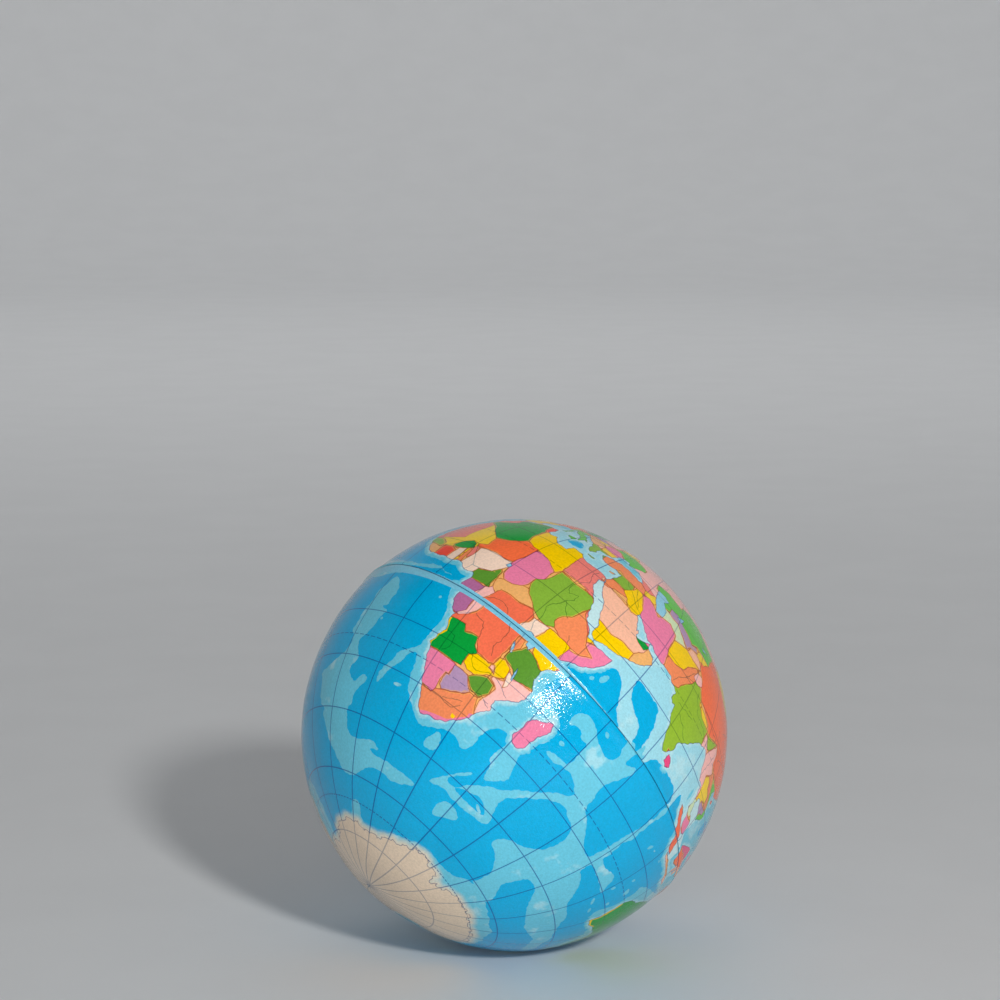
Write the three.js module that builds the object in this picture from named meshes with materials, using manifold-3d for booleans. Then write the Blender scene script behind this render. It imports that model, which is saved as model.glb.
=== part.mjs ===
/**
 * A soft foam stress ball printed as a world globe.
 *
 * The ball is one moulded foam core between two printed half-shell films, which meet in a low seam
 * round the equator. It lies tipped over on a table, as a ball does: the globe's axis leans away from
 * upright, and the ball has settled onto a small flat on its southern film.
 *
 * Millimetres, +Z up. The origin is the middle of the flat that it rests on.
 */
import * as THREE from 'three';
import Module from 'manifold-3d';

// Driving dimensions of the ball
const RADIUS = 38;
const HEIGHT_STRETCH = 1.015;
const REST_PATCH_RADIUS = 4.6;

// The films: how thick they are, and their play against the foam and against each other
const FILM_THICKNESS = 0.8;
const FILM_GAP = 0.3;

// The seam's lips: how far each stands out, and how far from the seam it starts to rise
const LIP_HEIGHT = 0.25;
const LIP_CREST = 0.5;
const LIP_FOOT = 1.9;

// How the globe lies: its axis leans from upright, towards a heading counted from +X to +Y
const AXIS_LEAN = THREE.MathUtils.degToRad(55.7);
const AXIS_HEADING = THREE.MathUtils.degToRad(35.9);

// Facets round the axis, and from a film's rim to its pole
const FILM_SEGMENTS = 60;
const OUTER_STEPS = 15;
const INNER_STEPS = 10;
const CORE_SEGMENTS = 48;
const CORE_STEPS = 24;

// How far the lowest point of the round ball is pressed in to give the rest patch its radius
const BOTTOM = RADIUS * HEIGHT_STRETCH;
const PATCH_DEPTH = BOTTOM * (1 - Math.sqrt(1 - (REST_PATCH_RADIUS / RADIUS) ** 2));

const FILM_INSIDE = RADIUS - FILM_THICKNESS;
const CORE_RADIUS = FILM_INSIDE - FILM_GAP;

const manifold = await Module();
manifold.setup();

/** The surface `out` millimetres outside `radius`, `above` millimetres from the equator along it. */
function profilePoint(radius, above, out = 0) {
  const latitude = above / RADIUS;
  return new THREE.Vector2((radius + out) * Math.cos(latitude), (radius + out) * Math.sin(latitude));
}

/** Half a film's section, from the outside of its pole, over the lip and back to the inside of it. */
function filmProfile() {
  const quarter = (Math.PI / 2) * RADIUS;
  const rim = FILM_GAP / 2;
  const points = [new THREE.Vector2(0, RADIUS)];
  for (let i = 1; i <= OUTER_STEPS; i += 1) {
    points.push(profilePoint(RADIUS, THREE.MathUtils.lerp(quarter, LIP_FOOT, i / OUTER_STEPS)));
  }
  points.push(profilePoint(RADIUS, (LIP_FOOT + LIP_CREST) / 2, LIP_HEIGHT * 0.6));
  points.push(profilePoint(RADIUS, LIP_CREST, LIP_HEIGHT));
  points.push(profilePoint(RADIUS, rim, LIP_HEIGHT / 2));
  for (let i = 0; i < INNER_STEPS; i += 1) {
    points.push(profilePoint(FILM_INSIDE, THREE.MathUtils.lerp(rim, quarter, i / INNER_STEPS)));
  }
  points.push(new THREE.Vector2(0, FILM_INSIDE));
  return points;
}

/** A full round section, from pole to pole. */
function coreProfile() {
  const points = [];
  for (let i = 0; i <= CORE_STEPS; i += 1) {
    const angle = (Math.PI * i) / CORE_STEPS;
    points.push(new THREE.Vector2(CORE_RADIUS * Math.sin(angle), CORE_RADIUS * Math.cos(angle)));
  }
  points[0].x = 0;
  points[CORE_STEPS].x = 0;
  return points;
}

/** Turns a profile round the globe's axis, as a closed solid with +Z as its north. */
function turned(profile, segments) {
  const lathe = new THREE.LatheGeometry(profile, segments);
  lathe.rotateX(Math.PI / 2);
  return solidOf(lathe);
}

/** A Manifold of a lathe, with its seams and poles welded and its faces turned outward. */
function solidOf(geometry) {
  const { position } = geometry.attributes;
  const { index } = geometry;
  const found = new Map();
  const vertices = [];
  const welded = [];
  for (let i = 0; i < position.count; i += 1) {
    const point = [position.getX(i), position.getY(i), position.getZ(i)];
    const key = point.map((value) => Math.round(value * 1e5)).join();
    if (!found.has(key)) {
      found.set(key, vertices.length / 3);
      vertices.push(...point);
    }
    welded.push(found.get(key));
  }
  const triangles = [];
  for (let i = 0; i < index.count; i += 3) {
    const [a, b, c] = [0, 1, 2].map((corner) => welded[index.getX(i + corner)]);
    if (a !== b && b !== c && c !== a) triangles.push(a, b, c);
  }
  const solid = asManifold(vertices, triangles);
  if (solid.volume() > 0) return solid;
  for (let i = 0; i < triangles.length; i += 3) {
    [triangles[i + 1], triangles[i + 2]] = [triangles[i + 2], triangles[i + 1]];
  }
  return asManifold(vertices, triangles);
}

function asManifold(vertices, triangles) {
  return new manifold.Manifold(new manifold.Mesh({
    numProp: 3,
    vertProperties: new Float32Array(vertices),
    triVerts: new Uint32Array(triangles),
  }));
}

/** Lays a solid of the globe as the ball lies: axis leaning, a touch taller than wide, on the table. */
function laid(solid) {
  const pole = new THREE.Vector3(
    Math.sin(AXIS_LEAN) * Math.cos(AXIS_HEADING),
    Math.sin(AXIS_LEAN) * Math.sin(AXIS_HEADING),
    Math.cos(AXIS_LEAN),
  );
  const lean = new THREE.Quaternion().setFromUnitVectors(new THREE.Vector3(0, 0, 1), pole);
  const place = new THREE.Matrix4()
    .makeTranslation(0, 0, BOTTOM - PATCH_DEPTH)
    .multiply(new THREE.Matrix4().makeScale(1, 1, HEIGHT_STRETCH))
    .multiply(new THREE.Matrix4().makeRotationFromQuaternion(lean));
  return solid.transform(place.elements);
}

/** What the table leaves of a solid: everything above it. */
function settled(solid) {
  return solid.trimByPlane([0, 0, 1], 0);
}

function meshOf(name, solid, colour, roughness) {
  const { vertProperties, triVerts } = solid.getMesh();
  const geometry = new THREE.BufferGeometry();
  geometry.setAttribute('position', new THREE.BufferAttribute(vertProperties, 3));
  geometry.setIndex(new THREE.BufferAttribute(triVerts, 1));
  geometry.computeVertexNormals();
  const material = new THREE.MeshStandardMaterial({ color: colour, roughness, metalness: 0 });
  const mesh = new THREE.Mesh(geometry, material);
  mesh.name = name;
  return mesh;
}

const northFilm = turned(filmProfile(), FILM_SEGMENTS);
const southFilm = northFilm.mirror([0, 0, 1]);
const core = turned(coreProfile(), CORE_SEGMENTS);

const ball = new THREE.Group();
ball.add(meshOf('foam_core', laid(core), 0xe9e3cf, 0.95));
ball.add(meshOf('north_skin', laid(northFilm), 0x00a8dc, 0.42));
ball.add(meshOf('south_skin', settled(laid(southFilm)), 0x00a8dc, 0.42));

export default ball;
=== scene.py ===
import math
import random
from dataclasses import dataclass

import bpy
import numpy as np
from mathutils import Matrix, Vector, geometry, kdtree


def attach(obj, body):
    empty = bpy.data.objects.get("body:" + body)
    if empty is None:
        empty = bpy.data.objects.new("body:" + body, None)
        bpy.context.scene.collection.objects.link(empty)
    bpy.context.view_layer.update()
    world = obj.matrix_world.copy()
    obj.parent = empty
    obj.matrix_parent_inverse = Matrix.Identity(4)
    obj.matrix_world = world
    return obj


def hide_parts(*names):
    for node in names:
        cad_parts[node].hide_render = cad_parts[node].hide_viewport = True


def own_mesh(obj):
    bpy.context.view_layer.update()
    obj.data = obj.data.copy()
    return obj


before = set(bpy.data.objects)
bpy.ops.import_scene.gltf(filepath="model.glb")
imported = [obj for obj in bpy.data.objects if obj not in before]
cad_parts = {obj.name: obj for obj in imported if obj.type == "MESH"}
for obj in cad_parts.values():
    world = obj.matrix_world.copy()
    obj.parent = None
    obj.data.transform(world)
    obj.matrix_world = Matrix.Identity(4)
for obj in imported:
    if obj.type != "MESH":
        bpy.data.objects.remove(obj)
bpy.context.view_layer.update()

# ---------------------------------------------------------------------------------------------
# Driving dimensions of the ball, in millimetres and degrees. The mesh work is in millimetres in
# the globe's own frame, with +Z as its north, and laid() turns it into metres in the row frame.
# ---------------------------------------------------------------------------------------------
RADIUS = 38.0
HEIGHT_STRETCH = 1.015
REST_PATCH_RADIUS = 4.6
FILM_THICKNESS = 0.8
FILM_GAP = 0.3

# The lip along each film's rim: its height, how far its crest and its foot are from the rim, and
# how high the very edge stands, as a share of the crest
LIP_HEIGHT = 0.25
LIP_CREST = 0.3
LIP_FOOT = 1.9
LIP_EDGE = 0.55

# How the globe lies: its axis leans from upright, with the northern pole towards a heading
AXIS_LEAN = 55.7
AXIS_HEADING = 35.9

# The seam: its width, and how far it wanders to each side, in how many waves, with one crest at
# a heading in the globe's own frame
SEAM_GAP = 0.12
SEAM_WANDER = 0.45
SEAM_WAVES = 3
SEAM_WAVE_AT = -35.9

BOTTOM = RADIUS * HEIGHT_STRETCH
CENTRE_HEIGHT = BOTTOM * math.sqrt(1 - (REST_PATCH_RADIUS / RADIUS) ** 2)
FILM_INSIDE = RADIUS - FILM_THICKNESS
CORE_RADIUS = FILM_INSIDE - FILM_GAP
BALL_HEIGHT = (CENTRE_HEIGHT + BOTTOM) / 1000

# The fine mesh, in millimetres: the distance between its points, how far they keep from the drawn
# lines, how close together those lines are sampled, and the rows of points along the rim
POINT_SPACING = 0.8
LINE_CLEARANCE = 0.42
LINE_SAMPLES = 0.12
SEAM_ROWS = (0.0, 0.05, 0.14, 0.3, 0.5, 0.75, 1.0, 1.4, 1.9, 2.5)
SEAM_CLEARANCE = 0.4
CHAIN_CLEARANCE = 0.1
RIM_POINTS = 480

# What counts as lying on the rim, on a line or clear of it, and the furthest distance that is
# told apart, in millimetres, and then how close two points of the plane are made one
ON_RIM = 0.005
ON_LINE = 0.01
CLEAR_OF_LINE = 0.06
FAR = 9.0
WELD = 1e-5

# The inside of a film: rows down its rim's wall, as shares of the thickness, and rows inside it
WALL_SHARES = (0.5, 1.0)
WALL_FACES = 2 * len(WALL_SHARES) * RIM_POINTS
INNER_ROWS = 12

# The pale band that the print leaves along each film's rim where there is land, in millimetres,
# and the longitude, in degrees, where it stops
RIM_BAND = {1: 0.5, -1: 0.75}
RIM_BAND_EAST_END = 80.0

# The slow unevenness of a soft moulded ball: direction, phase, and height in millimetres, and how
# far the ball is drawn in so that the bulges stay within its size
DENTS = (
    ((2.1, -1.3, 0.7), 0.4, 0.10),
    ((-0.9, 2.6, 1.9), 1.7, 0.08),
    ((3.4, 0.8, -2.7), 2.9, 0.05),
    ((6.1, -4.3, 5.2), 0.8, 0.03),
    ((-5.6, 7.4, 3.3), 4.1, 0.025),
    ((11.0, 9.0, -8.0), 2.2, 0.012),
)
DRAWN_IN = 0.12

# ---------------------------------------------------------------------------------------------
# The map. An entry is "name: longitude latitude, longitude latitude, ..." in degrees, and a line
# that is set in goes on with the one above it. Longitudes past 180 go on east. The ocean shapes
# and the countries are named after their ink, and each is painted over the ones before it.
# ---------------------------------------------------------------------------------------------
# One colour here is no ink: the dark blue on the rims' walls is painted shade, standing in for the
# shade down in the seam's groove
INKS = {
    "deep": "#00A8DA", "shelf": "#66C2DA", "haze": "#9AD4E2", "pale": "#BFE0E4",
    "bleed": "#7AC2DB", "painted_seam_shade": "#1E6590", "forest": "#0A9A3A", "moss": "#5C9432",
    "grass": "#86B23B", "lime": "#94B930", "leaf": "#5EC43E", "olive": "#A9AE3C",
    "orange": "#FA7041", "coral": "#F1704F", "tangerine": "#F08A5A", "peach": "#F5B99C",
    "apricot": "#EDAF6A", "cream": "#F4D6C1", "yellow": "#F7CB03", "corn": "#F4CE2C",
    "pink": "#EA7EA2", "magenta": "#E8487E", "rose": "#F6B9B2", "salmon": "#EC8076",
    "red": "#F2472F", "lavender": "#B08FB2", "violet": "#B26A98", "mint": "#CCDEB3",
    "ice": "#E2CDB5", "lake": "#8FCBE2",
}

OCEAN_SHAPES = """
shelf: -13.3 -1.5, -11 -2.5, -9.4 -4.7, -8 -6.7, -8.3 -10.6, -7.8 -12.5, -10.3 -13.3, -6.1 -14.6,
  -8 -15.8, -8.3 -20, -9.7 -22.8, -11.7 -25.3, -10.6 -27.8, -8.3 -30.6, -10.8 -33.3, -9.7 -36.1,
  -6.7 -37.5, -5.3 -35.6, -3.9 -34.4, -1.7 -35.3, -3.9 -38.3, -5.6 -40.6, -5.3 -43.3, -7.2 -44.4,
  -6.1 -47.8, -5 -50.3, -0.6 -51.4, 3.9 -50.6, 8.3 -49.7, 12.2 -51.4, 6.7 -51.9, 9.7 -53,
  15 -52.8, 29.4 -53, 29.4 -53.9, 20.6 -56.6, 15 -55.6, 7.8 -56.7, 3.9 -58.9, 0 -60.8, -6.7 -60.2,
  -10.6 -57.2, -13.9 -55, -17.2 -51.7, -19.4 -48.3, -21.1 -46.9, -19.7 -45.6, -23.9 -43.9,
  -24.7 -38.3, -26.7 -35, -21.7 -33.3, -17.8 -30.8, -15 -28.3, -14.4 -25, -17.2 -22.2, -16.1 -20,
  -16.7 -15, -15 -12.8, -16.1 -8.3, -14.4 -5.6
shelf: -60 2, -60 -3, -36 -1.5, -27 -0.7, -24 -1.9, -20.5 -2, -17 -0.8, -10 0.5, 10 2
shelf: 6.5 1, 6.7 -1.7, 9.7 -7.2, 10.6 -11, 10 -16.7, 9.6 -20.6, 7.2 -22.8, 4.4 -25, 4.2 -27.8,
  1.4 -31.4, 1.7 -35.3, 2.8 -35, 4.4 -30.3, 7.2 -27.2, 7.5 -24.4, 10 -22.4, 10.8 -25, 12.2 -31,
  13.9 -34.4, 18.9 -38.3, 21.7 -39.7, 25 -38.3, 29.4 -36, 32.8 -36, 35.8 -38, 37.8 -35.5,
  38.3 -28.9, 40.4 -26.4, 43.6 -25.9, 44.7 -28.8, 43.8 -31.8, 43.8 -34.7, 45.3 -35.3, 45.6 -38.2,
  46.8 -40, 49 -38.2, 52 -35.3, 50.9 -33, 50 -30.6, 49 -28.2, 49.7 -25.9, 50.9 -22.4, 52.4 -17.6,
  51.5 -13.4, 48 -11.6, 43.2 -12.3, 42 -8, 43.2 -4, 45.6 -0.6, 45 2, 20 2
shelf: 5 -4, 5.6 -3.6, 6.2 -4.3, 5.4 -4.9
shelf: -7.8 -17, -7 -16.7, -6.6 -17.4, -7.3 -17.9
shelf: 7.8 -33.2, 10.6 -32.7, 10.7 -33.5, 8.4 -34
shelf: 27.2 -37.8, 29.4 -38.6, 30 -41.7, 28.9 -43.3, 25.6 -43.6, 25.3 -41.4, 26.4 -40
shelf: 35 -48, 38.5 -44.1, 40.9 -41.8, 42.9 -40.3, 42.9 -41.5, 39.7 -44.1, 37.4 -46.5, 41 -47,
  43 -45.6, 43.8 -44.1, 46.8 -41.8, 52.6 -38.2, 55.6 -35.3, 59.7 -31.8, 64.4 -27, 68.2 -23.5,
  66.8 -23, 63.8 -20.9, 60.9 -20.6, 56.8 -22.4, 53.2 -22, 54.4 -20.6, 58 -20, 60.3 -20, 60 -14.7,
  60.3 -11.2, 57.4 -11.8, 56.8 -10, 54.4 -10, 52.6 -11.8, 52.1 -8.8, 52.9 -6.5, 55 -5, 58.5 -5.6,
  60.3 -7.6, 63.8 -9.1, 66.2 -9.7, 68.5 -7.6, 67.9 -3.5, 66 1.5, 72 1.5, 71.2 -2.5, 70.9 -5.9,
  72.6 -5.3, 74.6 -3.4, 75 -5.9, 73.8 -8.8, 72.1 -12.4, 71.2 -17, 72.6 -20, 72.6 -23.3,
  75.6 -24.7, 78.5 -26.5, 82 -29.4, 85 -30.3, 87.4 -30.3, 88.2 -27.6, 88.8 -17.6, 89.9 -11.8,
  90.9 1, 92.2 1, 91.6 -8.8, 90.9 -14.7, 90.7 -25.5, 91.5 -27, 96.8 -26.8, 98.5 -25.3, 102 -25.6,
  103.2 -28.2, 106.2 -30.9, 99.7 -30, 91.5 -29.7, 90.2 -31, 90.6 -34.1, 93.8 -34.4, 96.8 -35.9,
  100.3 -38.2, 103.2 -40.6, 106.2 -41.2, 112.6 -41.8, 117.4 -44.4, 126 -45.6, 150 -48, 150 -52,
  126 -50.9, 120.3 -52.4, 114.4 -53.1, 105.6 -52.4, 99.7 -51.2, 93.8 -48.8, 90.9 -47.1,
  86.8 -46.8, 83.8 -47.9, 83.5 -50.6, 82.1 -53.8, 84.4 -55.6, 87.9 -57.4, 90.3 -58.8, 91 -61,
  76 -61, 76.4 -58.8, 75.6 -55.3, 73.8 -53.8, 70.3 -51.8, 67.9 -50.6, 63.8 -50, 64.4 -47,
  67.9 -45, 71.5 -43.8, 75 -41.2, 77.1 -37.6, 77.4 -34.7, 76.8 -31.8, 75 -29.4, 70.9 -28.8,
  69.1 -27.6, 64.4 -29.4, 60.9 -33, 57.4 -36.5, 54.4 -40.6, 55.6 -43.5, 57.6 -45.9, 57.4 -48.2,
  52.6 -48.8, 46.8 -49.4, 38.5 -48.8, 33.3 -50.3, 33.9 -48.8
deep: 41 -47, 43.2 -45.6, 46 -45, 49 -43.8, 51.5 -44.2, 54.2 -45.6, 54.8 -46.8, 51 -47.3, 46 -47.3
shelf: 50.2 -45.7, 51 -45.5, 53.6 -46.6, 53.2 -47.1, 51.4 -46.7
shelf: 40.9 -51.8, 43.8 -50.6, 49.1 -51.5, 49.6 -53.2, 45.6 -54.7, 41.8 -56.5, 40.3 -55.3
shelf: 54.2 -16.4, 55.2 -16.1, 56 -16.9, 55 -17.7, 54.2 -17.3
shelf: 61 -4.2, 62.4 -4, 63 -5.4, 61.8 -5.5
shelf: 98.4 -11.6, 98.9 -10.7, 100 -10.3, 99.6 -11.9, 98.6 -12.9
shelf: 101 -10.4, 102.3 -10.2, 102 -11
shelf: 107 -9.6, 108.6 -9.4, 108.4 -10.3
shelf: 107.6 -19.2, 108.8 -19, 108.7 -20.1, 107.8 -20.4
shelf: 105.4 -26, 106.6 -25.6, 106.7 -27, 105.6 -27.4
shelf: 105.8 -32.4, 108.6 -33.2, 109.4 -34.4, 107 -33.8
shelf: 111 -34.2, 113.2 -34.6, 113.6 -35.6, 111.6 -35.3
shelf: 112.4 -28.5, 114 -28.6, 114 -29.6, 112.6 -29.8
shelf: 111 -21.3, 113.6 -22, 113.2 -24.2, 111.2 -23
shelf: 114 -17.5, 118 -14.5, 126 -12, 130 -9, 143 -9, 143 -14, 130 -20, 119 -24, 117.5 -28,
  118 -36.5, 114.5 -33, 116.6 -27, 116.2 -22.5, 115.8 -19.5
shelf: -60 -80, -25 -74, -12 -73, -2 -71, -0.5 -66.5, 3.5 -65.8, 6 -67, 7 -70.5, 15 -71, 25 -70.3,
  33 -67.6, 40 -66.6, 47 -64.8, 55 -64.4, 62 -65, 70 -63.8, 76 -60.4, 84 -60.4, 92 -60.8,
  105 -61.8, 130 -62.4, 160 -64, 180 -72, 200 -72, 230 -70, 260 -68, 280 -66, 290 -61, 303 -59.5,
  314 -60, 322 -68, 320 -80
# the northern Indian Ocean: pale all over, with deep basins
haze: 42 0, 47 2.5, 50.5 6, 52.3 9.3, 54 11.2, 56 10.4, 57.5 9.4, 59.5 6, 61 3, 65.8 -1, 70.4 -1,
  69 4.5, 67.5 6.4, 63.5 7.6, 60.5 10.2, 59.4 14.6, 64 14.5, 69.3 14.7, 70.6 11, 72 8, 72.4 4.5,
  72.6 -1, 75.6 -1, 77 3.5, 79.5 5.5, 84.5 6, 90 5.6, 90.7 -1, 92 -1, 91.7 4.5, 92.3 7.5, 94 6,
  96 3, 99 0.8, 104 -1, 122 -6, 122 25, 66 27, 42 20
shelf: 52.6 6.2, 53.8 8, 54.6 7, 53.8 4.4, 52.8 4.6
shelf: 50.6 3.6, 51.6 4.4, 51.9 3.2, 50.9 2.6
shelf: 95.2 12, 95.8 12.4, 96.3 10.4, 96 8.4, 95.3 8.8
pale: 96.6 17.6, 97 11, 98 6.6, 101 3, 104.4 1, 106.2 -3.4, 109 -6, 119 -7.2, 122 -2, 119.6 8,
  117 12.4, 111 13.4, 109 18, 104 16
deep: 110.6 13.8, 116 14.2, 121 18, 121 22, 115 19.4, 112.2 16.4
shelf: 72.6 -1, 72.6 3.4, 73.6 4.2, 74 1, 74.8 2.6, 75.6 -1
# west Africa and the Mediterranean, the Red Sea and the Gulf
shelf: 12 3, 6 3.6, 3 5.3, 0 5, -4 5.2, -8 5.3, -11 5.8, -14.5 8.6, -17.5 11.5, -19 15.5,
  -18.8 20, -18 24, -15.5 28, -12 31, -9 35, -12 40, 0 48, 40 48, 40 25, 20 10
haze: -6 36, 4 46, 20 47, 30 49, 42 48, 56 48, 56 36, 48 36, 40 40, 36 36, 33 30, 10 29, -6 34
pale: 31 31, 37 30.5, 44.6 13, 43.6 11, 40 12, 36 19, 31 28
haze: 46 31.5, 50 31, 57.4 27, 56.6 24, 51 23, 46 28
deep: 15.5 34.5, 19 34, 21 35.4, 19.5 37.8, 16.4 38, 15 36.2
# ridges and shelves of the rest of the world
shelf: -13 1, -22 -1.5, -31 0.5, -34 5, -42 9, -48 14, -49 22, -46 28, -40 33, -33 36, -31 41,
  -34 48, -36 54, -33 59, -27 63, -20 63, -25 57, -27 50, -24 44, -21 38, -30 33, -38 28, -42 22,
  -42 15, -35 10, -28 4, -20 2
shelf: -12 35, -10 38, -11 44, -6 46, -10 50, -13 54, -10 59, -5 61, 0 63, 8 66, 14 71, 20 73,
  30 78, 60 82, 100 82, 180 76, 180 60, 60 40, 0 40
shelf: -84 -60, -60 -58, -48 -55, -52 -46, -58 -40, -52 -36, -46 -28, -36 -22, -34 -12, -32 -6,
  -42 0, -48 6, -58 10, -60 15, -66 20, -74 25, -79 31, -72 36, -68 40, -58 43, -49 43, -48 48,
  -52 54, -58 62, -58 70, -70 76, -130 76, -170 75, -170 52, -160 53, -145 58, -133 53, -127 44,
  -124 36, -118 30, -110 20, -96 13, -82 5, -82 -5, -78 -15, -72 -20, -75 -40, -80 -52
deep: -94 25, -88 27, -86 24, -92 22.5
deep: -80 18, -76 16, -70 14, -64 15, -72 17.5
deep: -58 60, -52 61, -50 57, -54 56
shelf: -104 20, -102 8, -106 -4, -108 -15, -106 -26, -108 -38, -114 -47, -126 -53, -145 -57,
  -170 -62, -180 -63, -180 -58, -160 -54, -140 -50, -124 -43, -118 -34, -116 -22, -117 -10,
  -113 0, -111 10, -110 18
shelf: -108 -24, -96 -25, -84 -24, -78 -20, -84 -27, -98 -29, -108 -30
shelf: 170 50, 174 40, 168 34, 178 28, 188 24, 200 21, 206 20, 200 18, 188 20, 176 24, 166 30,
  164 40
shelf: 146 42, 150 46, 158 52, 165 58, 180 66, 192 66, 190 56, 175 52, 162 50, 152 44, 143 34,
  141 28, 144 20, 147 14, 144 11, 140 18, 138 28, 136 33, 130 30, 124 23, 126 16, 128 6, 136 2,
  146 0, 156 -4, 164 -10, 172 -14, 180 -15, 186 -17, 186 -24, 182 -34, 184 -42, 178 -50, 168 -53,
  164 -46, 168 -36, 164 -24, 158 -18, 154 -24, 155 -34, 150 -42, 146 -46, 142 -40, 130 -34,
  120 -36, 140 -10, 105 -8, 105 45
deep: 150 52, 154 54, 152 48, 148 47
deep: 178 58, 186 60, 182 54, 176 54
deep: 130 38, 136 42, 138 45, 135 40
deep: 112 12, 117 18, 119 14, 115 10
deep: 118 3, 123 5, 122 1
deep: 170 -28, 175 -24, 178 -32, 172 -36
deep: -160 85, -60 86, 20 85, 120 84, 190 82, 180 78, 150 80, 60 86, -10 83, -130 80, -165 77
shelf: 172 8, 178 4, 184 -4, 182 -9, 176 -4, 170 2, 165 8, 168 11
shelf: -150 -14, -142 -17, -136 -22, -144 -21, -152 -18
"""

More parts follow.
